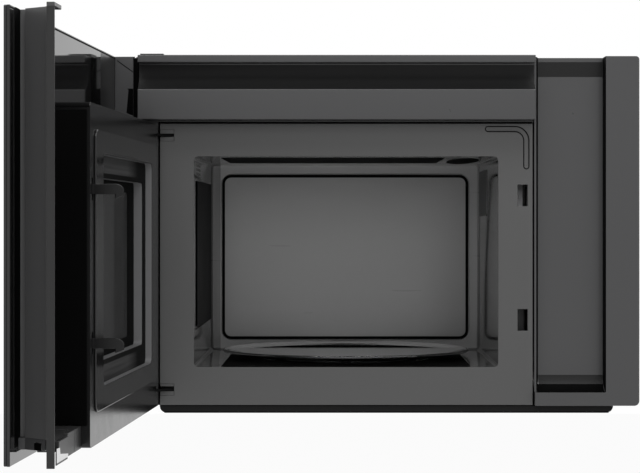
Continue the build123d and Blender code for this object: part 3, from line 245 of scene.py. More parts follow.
def glossy_moulding(name, level, roughness, shine=0.5):
    """Injection-moulded gloss plastic: a slow ripple, and a roughness that handling has made uneven."""
    finish = Finish(name, (level, level, level * 1.03), roughness, {"Specular IOR Level": shine})
    place = finish.position()
    ripple = finish.noise(place, 14.0, 1.0)
    haze = finish.noise(place, 45.0, 4.0)
    finish.feed("Roughness", roughness - 0.05 + haze * 0.1)
    finish.bump(ripple, 0.0002, 0.25)
    return finish.material


def textured_moulding(name, level, roughness=0.5, shine=0.5):
    """Spark-eroded matt plastic: a tight even grain."""
    finish = Finish(name, (level, level, level * 1.02), roughness, {"Specular IOR Level": shine})
    place = finish.position()
    grain = finish.noise(place, 1600.0, 2.0)
    broad = finish.noise(place, 9.0, 2.0)
    finish.feed("Roughness", roughness - 0.05 + broad * 0.1)
    finish.bump(grain, 0.00004)
    return finish.material


def channel_paint(shaded_width=1.5 * MM):
    """The pocket's satin paint, darkened to near black by painted shade along the outer edge of its flange."""
    finish = Finish("channel_enamel", (0.09, 0.09, 0.09), 0.42)
    # Painted shade: near black along the flange's outer edge, where the groove beside the glass lies in shadow.
    edge = finish.along("Y") < channel_low[1] + shaded_width
    grain = finish.noise(finish.position(), 1600.0, 2.0)
    finish.feed("Base Color", finish.between(edge, (0.09, 0.09, 0.091), (0.006, 0.006, 0.006)))
    finish.bump(grain, 0.00004)
    return finish.material


def cavity_enamel(shaded_foot_level=0.15, lit_head_level=0.5, wall_level=0.1):
    """Grey vitreous enamel: its walls have a mirror gloss. Its pressed back is paler and softer, with painted
    light and
    shade on it: lighter towards the head, darker towards the foot and along the left edge."""
    finish = Finish("cavity_enamel", (wall_level, wall_level, wall_level), 0.1)
    pressing_depth = 7 * MM
    shaded_strip_width = 15 * MM
    back = finish.along("Y") > back_wall - pressing_depth
    height = (finish.along("Z") - liner_low[2]) * (1.0 / (liner_high[2] - liner_low[2]))
    # Painted shade: the back is darker along its left edge, and the next lines paint it lighter towards its head
    # and darker towards its foot.
    thin = finish.along("X") < liner_low[0] + shaded_strip_width
    shaded_back_level = (shaded_foot_level + height * (lit_head_level - shaded_foot_level)) * (1.0 - thin * 0.6)
    shade = wall_level + back * (shaded_back_level - wall_level)
    colour = finish.node("ShaderNodeCombineColor", {}, {"Red": shade, "Green": shade, "Blue": shade})
    flow = finish.noise(finish.position(stretch=(1.0, 1.0, 14.0)), 9.0, 2.0)
    finish.feed("Base Color", colour)
    finish.feed("Roughness", 0.06 + flow * 0.05 + back * 0.2)
    return finish.material


def trim_enamel(haze_reach=100 * MM):
    """The trim's mirror enamel, hazed where it is screwed down beside the hinge."""
    finish = Finish("mirror_trim_enamel", (0.008, 0.008, 0.0082), 0.05)
    hazed = finish.along("Y") > case_face - haze_reach
    finish.feed("Roughness", 0.05 + hazed * 0.25)
    return finish.material


def tread_moulding(foot_z, head_z):
    """The window recess's tread: black, with a painted grey sheen in streaks along its head and foot that fades
    towards the hinge."""
    finish = Finish("tread_moulding", (0.001, 0.001, 0.001), 0.6, {"Specular IOR Level": 0.05})
    fade_start = case_face - 140 * MM
    fade_length = 70 * MM
    far = finish.node("ShaderNodeClamp", {},
                      {"Value": (fade_start - finish.along("Y")) * (1.0 / fade_length)})
    height = finish.along("Z")
    across = (height > head_z).either(height < foot_z)
    streak = finish.noise(finish.position(stretch=(0.02, 0.02, 1.0)), 230.0, 1.0)
    # Painted sheen in streaks along the head and foot, fading out towards the hinge.
    painted_sheen = far * across * (0.1 + streak * 0.9)
    finish.feed("Base Color", finish.between(painted_sheen, (0.003, 0.003, 0.003), (0.1, 0.1, 0.101)))
    return finish.material


def window_pane(reflection_start=236 * MM):
    """The inner window: a smoky film, with a painted reflection that makes it paler past a distance from the
    hinge.
    """
    finish = Finish("window_pane", (0.03, 0.03, 0.03), 0.04, {"Alpha": 0.45})
    # Painted reflection: the pane is paler past this distance from the hinge.
    far = finish.along("Y") < case_face - reflection_start
    smears = finish.noise(finish.position(), 11.0, 3.0)
    finish.feed("Base Color", finish.between(far, (0.016, 0.016, 0.016), (0.1, 0.1, 0.102)))
    finish.feed("Roughness", 0.04 + smears * 0.04)
    return finish.material


def galvanised(name, level=0.5):
    """Zinc-coated sheet with its large soft crystals."""
    finish = Finish(name, (level, level, level), 0.42, {"Metallic": 1.0})
    crystals = finish.node("ShaderNodeTexVoronoi", {"feature": "F1"},
                           {"Vector": finish.position(), "Scale": 95.0}, output="Color")
    shade = finish.node("ShaderNodeSeparateColor", {}, {"Color": crystals})
    finish.feed("Roughness", 0.34 + shade * 0.16)
    finish.feed("Base Color", finish.between(shade, [level * 0.85] * 3, [level * 1.1] * 3))
    return finish.material


def plain_metal(name, colour, roughness):
    """Small turned and pressed metal parts, with faint tool marks."""
    finish = Finish(name, colour, roughness, {"Metallic": 1.0})
    marks = finish.noise(finish.position(stretch=(1, 1, 9)), 260.0, 3.0)
    finish.feed("Roughness", roughness - 0.05 + marks * 0.12)
    finish.bump(marks, 0.00002)
    return finish.material


def clear_glass(name, colour, roughness, alpha):
    """A glass sheet, thin enough that its tint shows as an even veil."""
    finish = Finish(name, colour, roughness, {"Alpha": alpha})
    smears = finish.noise(finish.position(), 11.0, 3.0)
    finish.feed("Roughness", roughness + smears * 0.04)
    return finish.material


def turntable_glass():
    """Pressed soda glass, with the faint pull of the mould."""
    finish = Finish("pressed_glass", (0.86, 0.9, 0.89), 0.04,
                    {"Transmission Weight": 1.0, "IOR": 1.5, "Specular IOR Level": 0.3})
    finish.bump(finish.noise(finish.position(), 30.0, 1.0), 0.0002, 0.2)
    return finish.material


def perforated_screen(across=2.1 * MM, hole=1.3 * MM):
    """The door's microwave screen: staggered round holes, in the plane of the open door. A hole is where
    the sum of two cosine waves, one along the screen and one up it, comes near its peak."""
    finish = Finish("door_screen", (0.09, 0.09, 0.09), 0.45)
    place = finish.position(turn=(0, 0, door_open), centre=tuple(hinge_point))
    along = finish.node("ShaderNodeSeparateXYZ", {}, {"Vector": place})
    up = finish.node("ShaderNodeSeparateXYZ", {}, {"Vector": place}, output="Z")
    waves = 2 * pi / across
    wave_x = finish.node("ShaderNodeMath", {"operation": "COSINE"}, {0: along * waves})
    wave_z = finish.node("ShaderNodeMath", {"operation": "COSINE"}, {0: up * waves})
    holes = (wave_x + wave_z) > (2.0 - 4.0 * (hole / across) ** 2)
    finish.feed("Base Color", finish.between(holes, (0.1, 0.1, 0.1), (0.004, 0.004, 0.004)))
    return finish.material


def filter_mesh():
    """Layers of expanded aluminium mesh."""
    finish = Finish("filter_mesh", (0.62, 0.63, 0.64), 0.35, {"Metallic": 1.0})
    place = finish.position(stretch=(1.0, 0.6, 1.0))
    strands = finish.node("ShaderNodeTexVoronoi", {"feature": "DISTANCE_TO_EDGE"},
                          {"Vector": place, "Scale": 330.0}, output="Distance")
    wires = strands < 0.09
    finish.feed("Base Color", finish.between(wires, (0.12, 0.12, 0.13), (0.75, 0.76, 0.77)))
    finish.bump(wires, 0.0008)
    return finish.material


def felt(name, colour):
    """Pressed carbon fibre felt."""
    finish = Finish(name, colour, 0.95)
    finish.bump(finish.noise(finish.position(), 700.0, 6.0, 0.8), 0.0006)
    return finish.material


finishes = {
    "case_paint": powder_paint("case_enamel", 0.03, 0.42, grain=1100.0),
    "zinc_steel": galvanised("zinc_sheet"),
    "face_paint": powder_paint("face_enamel", 0.075, 0.4),
    "cavity_steel": cavity_enamel(),
    "black_moulding": glossy_moulding("gloss_black_moulding", 0.05, 0.3),
    "dark_plastic": textured_moulding("matt_black_moulding", 0.02, 0.42),
    "door_paint": glossy_moulding("door_enamel", 0.006, 0.2, 0.3),
    "trim_paint": glossy_moulding("trim_enamel", 0.008, 0.08),
    "front_glass": clear_glass("front_pane", (0.006, 0.006, 0.007), 0.03, 1.0),
    "window_glass": window_pane(),
    "screen_steel": perforated_screen(),
    "plate_glass": turntable_glass(),
    "lens_glass": clear_glass("lamp_lens_glass", (0.8, 0.8, 0.76), 0.35, 0.75),
    "mica": textured_moulding("mica_sheet", 0.09, 0.35),
    "grey_plastic": textured_moulding("pale_moulding", 0.5, 0.5),
    "aluminium": plain_metal("bare_aluminium", (0.72, 0.73, 0.74), 0.35),
    "motor_steel": plain_metal("motor_can", (0.34, 0.34, 0.35), 0.45),
    "copper": plain_metal("winding_copper", (0.6, 0.3, 0.16), 0.4),
    "board_green": textured_moulding("board_laminate", 0.06, 0.4),
    "charcoal_fibre": felt("charcoal_felt", (0.02, 0.02, 0.02)),
    "lamp_white": textured_moulding("lamp_ceramic", 0.8, 0.3),
    "rubber": textured_moulding("bushing_rubber", 0.02, 0.7),
}
finish_of_node = {
    "choke_cover": glossy_moulding("gloss_cover_moulding", 0.014, 0.12, 0.4),
    "latch_hooks": glossy_moulding("gloss_hook_moulding", 0.004, 0.25, 0.3),
    "handle_channel": channel_paint(),
    "glass_trim": trim_enamel(),
    # Painted shade: the pan under the case is a darker, duller copy of the case's paint.
    "base_pan": textured_moulding("shaded_pan_enamel", 0.01, 0.6, 0.15),
    "hinge_plate_upper": textured_moulding("shaded_hinge_steel", 0.001, 0.6, 0.1),
    "hinge_plate_lower": textured_moulding("shaded_hinge_steel_lower", 0.001, 0.6, 0.1),
    "roller_ring": textured_moulding("black_roller_moulding", 0.006, 0.5, 0.2),
    "roller_wheel_1": textured_moulding("black_wheel_moulding_1", 0.006, 0.5, 0.2),
    "roller_wheel_2": textured_moulding("black_wheel_moulding_2", 0.006, 0.5, 0.2),
    "roller_wheel_3": textured_moulding("black_wheel_moulding_3", 0.006, 0.5, 0.2),
    # Painted shade: dead black with almost no shine, for the shadowed hollow at the choke frame's free end.
    "ui_cover": textured_moulding("shadow_black_moulding", 0.001, 0.7, 0.05),
    "grease_filter_left": filter_mesh(),
    "grease_filter_right": filter_mesh(),
}
slot_of = {entry["node"]: entry["material_slot"] for entry in frame["record"]["subparts"]}
body_of_node = {node: body for body, members in frame["record"]["behaviour"]["bodies"].items()
                for node in members}


def finish_for(node):
    """A node's own finish where it has one, and otherwise the finish of its slot."""
    return finish_of_node.get(node, finishes[slot_of[node]])


for name, part in nodes.items():
    part.data.materials.clear()
    part.data.materials.append(finish_for(name))


# ---- Surfaces ----
def finished_piece(name, mesh, stands_for):
    """Puts a mesh in the scene in place of a CAD node, body and finish."""
    piece = bpy.data.objects.new(name, mesh)
    bpy.context.collection.objects.link(piece)
    mesh.materials.append(finish_for(stands_for))
    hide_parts(stands_for)
    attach(piece, body_of_node[stands_for])
    return piece


def smooth_mesh(name, points, faces, sharp=35.0):
    """A mesh from arrays, smooth except along edges sharper than an angle in degrees."""
    mesh = bpy.data.meshes.new(name)
    mesh.from_pydata(points.reshape(-1, 3).tolist(), [], faces)
    mesh.update()
    mesh.shade_smooth()
    mesh.set_sharp_from_angle(angle=radians(sharp))
    return mesh


def eased(node, radius, segments=3, crease=30.0, smooth=35.0):
    """A copy of a CAD node, with its flat faces joined up and each edge sharper than the crease angle
    rounded to a radius."""
    copy = bmesh.new()
    copy.from_mesh(nodes[node].data)
    bmesh.ops.remove_doubles(copy, verts=copy.verts, dist=0.01 * MM)
    bmesh.ops.dissolve_limit(copy, angle_limit=radians(1.0), verts=copy.verts, edges=copy.edges)
    mesh = bpy.data.meshes.new(node + "_eased")
    copy.to_mesh(mesh)
    copy.free()
    mesh.shade_smooth()
    mesh.set_sharp_from_angle(angle=radians(smooth))
    piece = finished_piece(node + "_eased", mesh, node)
    bevel = piece.modifiers.new("rounded edges", "BEVEL")
    bevel.limit_method = "ANGLE"
    bevel.angle_limit = radians(crease)
    bevel.width = radius
    bevel.segments = segments
    bevel.harden_normals = True
    bevel.use_clamp_overlap = True


# Each node's edge radius, in millimetres.
for node, radius in (
    ("cabinet_wrap", 0.3), ("rear_panel", 0.2), ("base_pan", 0.3), ("face_plate", 0.5),
    ("control_housing", 1.0), ("vent_bezel", 0.6), ("cavity_liner", 0.4), ("door_glass", 0.8),
    ("glass_trim", 0.5), ("choke_frame", 0.5), ("choke_cover", 0.8), ("handle_channel", 0.6),
    ("channel_caps", 0.6), ("end_wall", 0.5), ("bottom_rail", 0.6), ("latch_hooks", 0.6),
    ("hinge_lugs", 0.3), ("hinge_plate_upper", 0.3), ("hinge_plate_lower", 0.3),
    ("exhaust_collar", 0.2), ("damper_flap", 0.2), ("cord_bushing", 0.5), ("lamp_lens", 0.4),
    ("ui_cover", 0.5),
):
    eased(node, radius * MM)


# ---- Turntable plate ----
def turned(profile, centre, segments=192):
    """Points at (radius, height) pairs, each carried round a vertical axis through centre:
    x = radius cos a, y = radius sin a. The profile closes on itself."""
    angle = np.linspace(0, 2 * np.pi, segments, endpoint=False)[:, None]
    radius = profile[:, 0][None, :]
    height = np.broadcast_to(profile[:, 1][None, :], (segments, len(profile)))
    points = np.stack([centre[0] + radius * np.cos(angle), centre[1] + radius * np.sin(angle),
                       centre[2] + height], axis=-1)
    i, j = np.meshgrid(np.arange(segments), np.arange(len(profile)), indexing="ij")
    across = len(profile)
    after_i = (i + 1) % segments
    after_j = (j + 1) % across
    faces = np.stack([i * across + j, after_i * across + j, after_i * across + after_j,
                      i * across + after_j], axis=-1)
    return points, faces.reshape(-1, 4).tolist()


def plate_profile(radius, thickness, rise):
    """The plate's cross-section: flat, then a smooth rise to the rim that follows half a cosine wave,
    a round lip, and the same curve back underneath, one thickness lower. It starts and ends a hair
    from the axis, so that the faces there keep some width."""
    flat = radius - 22 * MM
    rim = radius - 1.5 * MM
    middle = 0.06 * MM
    out = np.linspace(flat, rim, 16)
    lift = 0.5 * rise * (1 - np.cos(np.pi * (out - flat) / (radius - flat)))
    over = np.stack([out, thickness + lift], axis=1)
    angle = np.linspace(np.pi / 2, -np.pi / 2, 7)[1:-1]
    lip = np.stack([rim + 1.4 * MM * np.cos(angle),
                    thickness / 2 + rise + (thickness / 2) * np.sin(angle)], axis=1)
    under = np.stack([out[::-1], lift[::-1]], axis=1)
    return np.concatenate([[(middle, thickness)], over, lip, under, [(middle, 0)]])


table_centre = (table_low + table_high) / 2
plate_thickness = 4.0 * MM
rim_rise = 3.2 * MM
rim_clearance = 0.2 * MM
plate_foot = table_high[2] - plate_thickness - rim_rise - rim_clearance
points, faces = turned(plate_profile((table_high - table_low)[0] / 2, plate_thickness, rim_rise),
                       (table_centre[0], table_centre[1], plate_foot))
finished_piece("glass_turntable", smooth_mesh("glass_turntable", points, faces, 50.0), "turntable_plate")


# ---- Cove lining: painted shade under the bezel's lip ----
def added_piece(name, mesh, body, material):
    """A thin piece of the scene's own, on a body, with a finish."""
    piece = bpy.data.objects.new(name, mesh)
    bpy.context.collection.objects.link(piece)
    mesh.materials.append(material)
    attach(piece, body)


def carried(profile, left, right):
    """A profile of (y, z) pairs carried straight along X from left to right."""
    ends = np.array([left, right])
    points = np.zeros((2, len(profile), 3))
    points[:, :, 0] = ends[:, None]
    points[:, :, 1:] = profile[None, :, :]
    j = np.arange(len(profile) - 1)
    across = len(profile)
    return points, np.stack([j, j + across, j + across + 1, j + 1], axis=-1).tolist()


def arc_through(first, middle, last, count):
    """Points along the circle through three (y, z) points: its centre is as far from each."""
    sides = 2 * np.array([middle - first, last - first])
    squares = np.array([middle @ middle - first @ first, last @ last - first @ first])
    centre = np.linalg.solve(sides, squares)
    angles = np.unwrap([np.arctan2(*(point - centre)[::-1]) for point in (first, middle, last)])
    sweep = np.linspace(angles[0], angles[2], count)
    radius = np.linalg.norm(first - centre)
    return centre + radius * np.stack([np.cos(sweep), np.sin(sweep)], axis=-1)


# The cove runs from the top of the bezel's face, back under its lip. Points are (y, z).
cove_depth = 19 * MM
face_top = np.array([bezel_low[1], bezel_high[2] - 41 * MM])
deepest = face_top + np.array([0.78 * cove_depth, 9 * MM])
under_lip = np.array([bezel_low[1] + cove_depth, bezel_high[2] - 9 * MM])
cove_lift = 0.3 * MM
cove = arc_through(face_top, deepest, under_lip, 25)[1:-1] + np.array([-cove_lift, cove_lift / 2])
points, faces = carried(cove, bezel_low[0] + cove_lift, bezel_high[0] - cove_lift)
# A dark sheet in the cove under the lip, as painted shade.
added_piece("cove_lining", smooth_mesh("cove_lining", points, faces, 60.0), "case",
            textured_moulding("cove_shade_black", 0.006, 0.55, 0.25))

# ---- Linings: thin sheets ruled between two lines of points ----
# From here on places are in millimetres: x, distance in front of the case's face, and z. Places given
# as plain numbers were measured in the photograph.
LIFT = 0.25  # how far a lining lies off what it covers
edge_black = textured_moulding("dead_black_edge", 0.001, 0.7, 0.05)


def lining(name, first, second, body, material=edge_black, closed=False):
    """A sheet ruled between two lines of points: each point of one is joined to its partner."""
    count = len(first)
    i = np.arange(count if closed else count - 1)
    after = (i + 1) % count
    faces = np.stack([i, after, after + count, i + count], axis=-1).tolist()
    mesh = smooth_mesh(name, np.stack([first, second]), faces)
    added_piece(name, mesh, body, material)


def on_case(places):
    """Places on the case, as (x, distance in front of its face, z) in millimetres."""
    places = np.asarray(places, float) * MM
    return np.stack([places[:, 0], case_face - places[:, 1], places[:, 2]], axis=-1)


def rounded_loop(low, high, radius, count=8):
    """A rectangle's outline as (x, z) pairs: four quarter circles, with straight runs between them."""
    quarter = np.linspace(0, np.pi / 2, count)
    left, right = low[0] + radius, high[0] - radius
    foot, head = low[1] + radius, high[1] - radius
    corners = []
    for turns, (x, z) in enumerate(((right, head), (left, head), (left, foot), (right, foot))):
        angle = quarter + turns * np.pi / 2
        corners.append(np.stack([x + radius * np.cos(angle), z + radius * np.sin(angle)], axis=-1))
    return np.concatenate(corners)


def at_front(loop, front):
    """An (x, z) outline set at one distance in front of the case's face."""
    return np.column_stack([loop[:, 0], np.full(len(loop), front), loop[:, 1]])


# The cavity's black panels: the left wall's, the ceiling's strip and lamp shade, and the floor round
# the turntable's well.
wall_x = left_wall / MM + LIFT
panel_front, panel_back = -53, -318
lining("left_panel_lining", on_case([(wall_x, panel_front, -115), (wall_x, panel_back, -116.5)]),
       on_case([(wall_x, panel_front, 66), (wall_x, panel_back, 67)]), "case",
       textured_moulding("panel_black", 0.012, 0.6, 0.1))
ceiling_z = ceiling / MM - LIFT
strip_front, strip_back = -49, -267
lining("ceiling_lining", on_case([(-203, strip_front, ceiling_z), (73, strip_front, ceiling_z)]),
       on_case([(-203, strip_back, ceiling_z), (73, strip_back, ceiling_z)]), "case")
shade_x, shade_front, shade_points = 103, -185, 48
round_shade = np.linspace(0, 2 * np.pi, shade_points, endpoint=False)
shade_ring = np.stack([shade_x + 20 * np.cos(round_shade), shade_front + 120 * np.sin(round_shade),
                       np.full(shade_points, ceiling_z)], axis=-1)
shade_middle = np.tile([(shade_x, shade_front, ceiling_z)], (shade_points, 1))
lining("lamp_shade_lining", on_case(shade_ring), on_case(shade_middle), "case", closed=True)

# The floor's black sheet is a rectangle round the turntable, with a round hole for its well. Along a
# ray at an angle, the rectangle is reached at the lesser of half width / cos and half depth / sin.
half_width, half_depth, well_radius = 151, 161, 112.5
round_well = np.linspace(0, 2 * np.pi, 128, endpoint=False)
rectangle = np.minimum(half_width / np.abs(np.cos(round_well) + 1e-9),
                       half_depth / np.abs(np.sin(round_well) + 1e-9))
sheet_z = wheel_low[2] / MM + 9 + LIFT


def about_table(radius):
    """Points on the floor about the turntable's centre, at a radius that may change with the angle."""
    return np.stack([table_centre[0] + radius * MM * np.cos(round_well),
                     table_centre[1] + radius * MM * np.sin(round_well),
                     np.full(len(round_well), sheet_z * MM)], axis=-1)


lining("floor_lining", about_table(rectangle), about_table(well_radius), "case", closed=True)

# The back's groove, blacked in as painted shade, and the smooth face that it frames, each inside a
# rounded rectangle. The face is ruled to a small copy of its own outline at the middle.
cavity_low = np.array([left_wall, cavity_floor]) / MM
cavity_high = np.array([right_wall, ceiling]) / MM
groove_front = (case_face - back_wall) / MM + 0.2
face_front = groove_front - 0.1
groove_outer = rounded_loop(cavity_low + 14.3, cavity_high - 14.3, 12.2)
groove_inner = rounded_loop(cavity_low + 18.1, cavity_high - 18.1, 8.4)
lining("back_groove", on_case(at_front(groove_outer, groove_front)),
       on_case(at_front(groove_inner, groove_front)), "case", closed=True)
face_loop = rounded_loop(cavity_low + 18, cavity_high - 18, 8.5)
face_middle = face_loop.mean(axis=0)
lining("back_face", on_case(at_front(face_loop, face_front)),
       on_case(at_front(face_middle + (face_loop - face_middle) * 0.004, face_front)),
       "case", finishes["cavity_steel"], closed=True)

# The control side, with painted shade on the recess's right wall, its left slope, the band under its top edge and
# its sill.
housing_top = housing_high[2] / MM
sill = housing_low[2] / MM + 16
recess_floor, housing_front = -17, 10.7
recess_left, recess_right = 184.5, 262.5
recess_wall = 263 - LIFT
lining("recess_wall_lining",
       on_case([(recess_wall, housing_front, sill + 1), (recess_wall, recess_floor, sill + 9)]),
       on_case([(recess_wall, housing_front, housing_top), (recess_wall, recess_floor, housing_top)]),
       "case")
slope_front = (180.5, LIFT)
slope_foot = (184 + LIFT, recess_floor + LIFT)
lining("recess_slope_lining", on_case([(*slope_front, sill + 4), (*slope_foot, sill + 9)]),
       on_case([(*slope_front, housing_top), (*slope_foot, housing_top)]), "case")
shaded_moulding = glossy_moulding("shaded_moulding", 0.004, 0.4, 0.3)
band_front = recess_floor + LIFT
band_foot, band_head = housing_top - 23, housing_top - 5
lining("recess_band",
       on_case([(recess_left, band_front, band_foot), (recess_right, band_front, band_foot)]),
       on_case([(recess_left, band_front, band_head), (recess_right, band_front, band_head)]),
       "case", shaded_moulding)
sill_curve = arc_through(np.array([recess_floor, sill + 20.5]), np.array([-11.5, sill + 6.5]),
                         np.array([11.0, sill]), 25) + LIFT


def along_sill(first, last, x):
    """The stretch of the sill's curve between two of its points, at one x."""
    stretch = sill_curve[first:last + 1]
    return on_case(np.column_stack([np.full(len(stretch), x), stretch]))


# The sill's painted shade: its back runs over points 1 to 4 of its curve, its middle over 4 to 8, and its front
# over 8 to 23.
lining("sill_front_lining", along_sill(8, 23, recess_left - 3), along_sill(8, 23, recess_right),
       "case")
lining("sill_middle_lining", along_sill(4, 8, recess_left), along_sill(4, 8, recess_right),
       "case", textured_moulding("sill_shade_moulding", 0.012, 0.5, 0.2))
lining("sill_back_lining", along_sill(1, 4, recess_left), along_sill(1, 4, recess_right),
       "case", shaded_moulding)

# Shadow lines of the case: over and under the pan, and down the left edge beside the bezel.
pan_front = (case_face - pan_low[1]) / MM + LIFT
for name, foot, head, end in (("pan_upper_line", -206.4, -204.9, 272),
                              ("pan_lower_line", -214.8, -213.2, 268)):
    lining(name, on_case([(-end, pan_front, foot), (end, pan_front, foot)]),
           on_case([(-end, pan_front, head), (end, pan_front, head)]), "case")
bezel_foot = bezel_low[2] / MM
edge_left, edge_right, edge_head = -303, -297.2, 213
lining("case_edge_line", on_case([(edge_left, LIFT, bezel_foot), (edge_right, LIFT, bezel_foot)]),
       on_case([(edge_left, LIFT, edge_head), (edge_right, LIFT, edge_head)]), "case")

# The pressed groove in the face plate's upper right corner gets an outline of painted shade: along the top,
# round a quarter circle and down the side.
bend_radius = 14
bend_centre = np.array([154.5, 113.5])
bend = np.linspace(np.pi / 2, 0, 12)
bend_points = bend_centre + bend_radius * np.stack([np.cos(bend), np.sin(bend)], axis=-1)
groove_path = np.concatenate([[(122.3, 127.5)], bend_points, [(168.5, 82.5)]])


def round_path(path, half):
    """The outline of a band along a path: both sides at half its width, and a half circle at each end."""
    along = np.gradient(path, axis=0)
    along /= np.linalg.norm(along, axis=1)[:, None]
    aside = np.stack([-along[:, 1], along[:, 0]], axis=-1)
    caps = []
    for end, start in ((path[-1], np.arctan2(*aside[-1][::-1])), (path[0], np.arctan2(*-aside[0][::-1]))):
        sweep = start - np.linspace(0, np.pi, 8)
        caps.append(end + half * np.stack([np.cos(sweep), np.sin(sweep)], axis=-1))
    return np.concatenate([path + half * aside, caps[0], (path - half * aside)[::-1], caps[1]])


lining("groove_outline", on_case(at_front(round_path(groove_path, 2.5), 0.1)),
       on_case(at_front(round_path(groove_path, 3.7), 0.1)), "case", closed=True)

# The hinge slots are closed in to the height of the arms.
slot_left, slot_right, slot_front = -272.6, -256.2, -0.2
for name, foot, head in (("upper_slot_shim", 113.2, 118.0), ("upper_slot_cap", 122.0, 126.8),
                         ("lower_slot_shim", -193.3, -188.4), ("lower_slot_cap", -182.4, -179.7)):
    lining(name, on_case([(slot_left, slot_front, foot), (slot_right, slot_front, foot)]),
           on_case([(slot_left, slot_front, head), (slot_right, slot_front, head)]),
           "case", finishes["face_paint"])

# The window recess: a black tread with a painted sheen, between two risers made paler as painted highlight, and a
# black border printed on the pane.
pane_low, pane_high = shut_box("inner_window")
pane_back = pane_low[1]
pane_middle = (pane_low + pane_high)[[0, 2]] / 2
tread_inner = rounded_loop(pane_low[[0, 2]] + 5, pane_high[[0, 2]] - 5, 6)
tread_outer = rounded_loop(pane_low[[0, 2]] - 18, pane_high[[0, 2]] + 18, 9)
tread = pane_back - 10
# Painted highlight: the risers are paler for the light that their faces catch.
riser = textured_moulding("riser_highlight_moulding", 0.15, 0.45)


def shrunk(loop, distance):
    """An outline about the pane's middle, drawn in by a distance in x and in z."""
    return loop - np.sign(loop - pane_middle) * np.asarray(distance)


riser_outer = shrunk(tread_outer, LIFT)
riser_inner = shrunk(tread_inner, LIFT)
lining("window_tread", on_door(at_front(tread_outer, tread - LIFT)),
       on_door(at_front(tread_inner, tread - LIFT)), "door",
       tread_moulding(pane_low[2] * MM, pane_high[2] * MM), closed=True)
lining("window_outer_riser", on_door(at_front(riser_outer, tread - 7.6)),
       on_door(at_front(riser_outer, tread - 0.5)), "door", riser, closed=True)
lining("window_inner_riser", on_door(at_front(riser_inner, tread + 0.1)),
       on_door(at_front(riser_inner, pane_back - 0.4)), "door", riser, closed=True)
lining("window_border", on_door(at_front(shrunk(tread_inner, 0.4), pane_back - LIFT)),
       on_door(at_front(shrunk(tread_inner, (45, 12)), pane_back - LIFT)),
       "door", closed=True)

# The trim and the end wall: the trim's dark top edge, and painted shade along the wall's crease, in its hinge
# pocket and on its rear lip.
trim_low, trim_high = shut_box("glass_trim")
trim_back = trim_low[1] - LIFT
trim_top = trim_high[2]
line_foot, line_head = trim_top - 3.0, trim_top - 1.3
lining("trim_top_line",
       on_door([(trim_low[0], trim_back, line_foot), (trim_high[0], trim_back, line_foot)]),
       on_door([(trim_low[0], trim_back, line_head), (trim_high[0], trim_back, line_head)]),
       "door")
end_low, end_high = shut_box("end_wall")
end_face = end_high[0] + LIFT
end_back = 35.7
lining("end_wall_crease", on_door([(end_face, 55.1, 210.4), (end_face, end_back, 196.4)]),
       on_door([(end_face, 55.1, 209.2), (end_face, end_back, 195.2)]), "door")
lining("hinge_pocket",
       on_door([(end_face, 42.8, 176), (end_face, 41.3, 174.3), (end_face, 43.8, 146.7)]),
       on_door([(end_face, end_back, 176), (end_face, end_back, 174.3), (end_face, end_back, 143.5)]),
       "door")
lip_x, lip_back, lip_front = end_low[0] - 0.4, 33.8, 40
lining("end_wall_lip", on_door([(lip_x, lip_back, bezel_foot - 2), (lip_x, lip_front, bezel_foot - 2)]),
       on_door([(lip_x, lip_back, trim_top), (lip_x, lip_front, trim_top)]), "door")

# The pocket behind the free edge: painted shade on its floor, and in the notch in its bottom cap.
pocket_foot = channel_low[2] / MM + 14
pocket_left, pocket_right = 240, 262
lining("pocket_floor",
       on_door([(pocket_left, trim_back, pocket_foot), (pocket_right, trim_back, pocket_foot)]),
       on_door([(pocket_left, trim_back, trim_top), (pocket_right, trim_back, trim_top)]),
       "door")
notch_foot, notch_head = -196.2, -189.5
lining("cap_notch", on_door([(259.7, 33.5, notch_foot), (254.6, 41.2, notch_foot)]),
       on_door([(259.7, 33.5, notch_head), (254.6, 41.2, notch_head)]), "door")

# The free end of the choke frame has a rounded shaded top edge, and the rail's web a bright face.
frame_high = shut_box("choke_frame")[1]
edge_radius = 5.0
edge_bend = np.linspace(0, np.pi / 2, 12)
edge_x = frame_high[0] - edge_radius + (edge_radius + LIFT) * np.cos(edge_bend)
edge_z = frame_high[2] - edge_radius + (edge_radius + LIFT) * np.sin(edge_bend)
frame_edge = np.column_stack([edge_x, edge_z])
lining("frame_end_edge", on_door(at_front(frame_edge, 4.0)),
       on_door(at_front(frame_edge, frame_high[1] - 1)), "door")
rail_low, rail_high = shut_box("bottom_rail")
web_back = rail_low[1] - LIFT
web_foot = -203.4
bright_web = plain_metal("bright_web", (0.6, 0.6, 0.6), 0.12)
web_top = [(rail_high[0], -190.0), (281.0, -190.5), (279.0, -196.5), (242.0, -200.5)]
lining("rail_web_face", on_door([(x, web_back, z) for x, z in web_top]),
       on_door([(x, web_back, web_foot) for x, z in web_top]), "door", bright_web)

# ---- Stage, light and camera ----
FLOOR_DROP = 0.62
FLOOR_REACH = 6.0
SOFT_SKY, CLEAR_SKY = 0.34, 1.0  # the sky's strength as a light, and as it is seen


def clear_rays(maker):
    """1 for camera, glossy and transmission rays, and 0 for the rest."""
    camera_ray = maker.node("ShaderNodeLightPath", output="Is Camera Ray")
    glossy_ray = maker.node("ShaderNodeLightPath", output="Is Glossy Ray")
    transmission_ray = maker.node("ShaderNodeLightPath", output="Is Transmission Ray")
    return camera_ray.either(glossy_ray).either(transmission_ray)


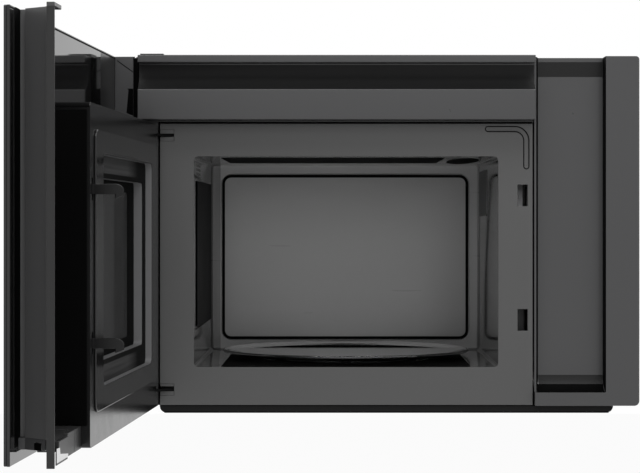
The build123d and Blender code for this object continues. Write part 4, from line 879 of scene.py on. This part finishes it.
def white_sweep(glow_share=0.94):
    """White to the camera and in reflections, with a soft shadow kept from the paint underneath, and
    clear from below, so that the object's underside can be looked at."""
    sweep = Finish("studio_sweep", (0.9, 0.9, 0.9), 0.9)
    paint = Signal(sweep, sweep.shader.outputs[0])
    glow = sweep.node("ShaderNodeEmission")
    lit = sweep.node("ShaderNodeMixShader", {}, {0: clear_rays(sweep) * glow_share, 1: paint, 2: glow})
    below = sweep.node("ShaderNodeNewGeometry", output="Backfacing")
    clear = sweep.node("ShaderNodeBsdfTransparent")
    one_way = sweep.node("ShaderNodeMixShader", {}, {0: below, 1: lit, 2: clear})
    sweep.tree.links.new(one_way.socket, sweep.tree.nodes["Material Output"].inputs["Surface"])
    return sweep.material


floor_mesh = bpy.data.meshes.new("studio_floor")
floor_level = cad_box[0][2] - FLOOR_DROP
floor_corners = [(-FLOOR_REACH, -FLOOR_REACH), (FLOOR_REACH, -FLOOR_REACH), (FLOOR_REACH, FLOOR_REACH),
                 (-FLOOR_REACH, FLOOR_REACH)]
floor_mesh.from_pydata([(x, y, floor_level) for x, y in floor_corners], [], [(0, 1, 2, 3)])
floor_mesh.materials.append(white_sweep())
floor = bpy.data.objects.new("studio_floor", floor_mesh)
bpy.context.collection.objects.link(floor)


def softbox(name, place, aim, width, height, power):
    """A rectangular lamp that faces a point."""
    lamp = bpy.data.lights.new(name, "AREA")
    lamp.shape = "RECTANGLE"
    lamp.size = width
    lamp.size_y = height
    lamp.energy = power
    fitting = bpy.data.objects.new(name, lamp)
    bpy.context.collection.objects.link(fitting)
    fitting.location = place
    fitting.rotation_euler = (Vector(aim) - Vector(place)).to_track_quat("-Z", "Y").to_euler()
    return fitting


softbox("overhead", (0.0, -1.6, 2.4), (0, -0.3, 0), 2.4, 1.4, 36)
front_fill = softbox("front_fill", (0.15, -3.2, 1.0), (-0.1, -0.3, 0), 1.4, 1.4, 25)
front_fill.visible_glossy = False

world = bpy.data.worlds.new("studio")
bpy.context.scene.world = world
world.use_nodes = True
sky = NodeMaker(world.node_tree)
strength = sky.node("ShaderNodeMapRange", {},
                    {"Value": clear_rays(sky), "To Min": SOFT_SKY, "To Max": CLEAR_SKY})
backdrop = sky.tree.nodes["Background"]
backdrop.inputs["Color"].default_value = (1, 1, 1, 1)
sky.tree.links.new(strength.socket, backdrop.inputs["Strength"])

camera_data = bpy.data.cameras.new("photo_camera")
camera_data.lens = 110.42
camera_data.sensor_width = 36.0
camera_data.shift_x = -0.03125
camera_data.shift_y = -0.02266
camera = bpy.data.objects.new("photo_camera", camera_data)
camera.location = (-0.056, -2.743, 0.0155)
camera.rotation_euler = (radians(90), 0, 0)
bpy.context.collection.objects.link(camera)
bpy.context.scene.camera = camera
bpy.context.scene.view_settings.view_transform = "Standard"
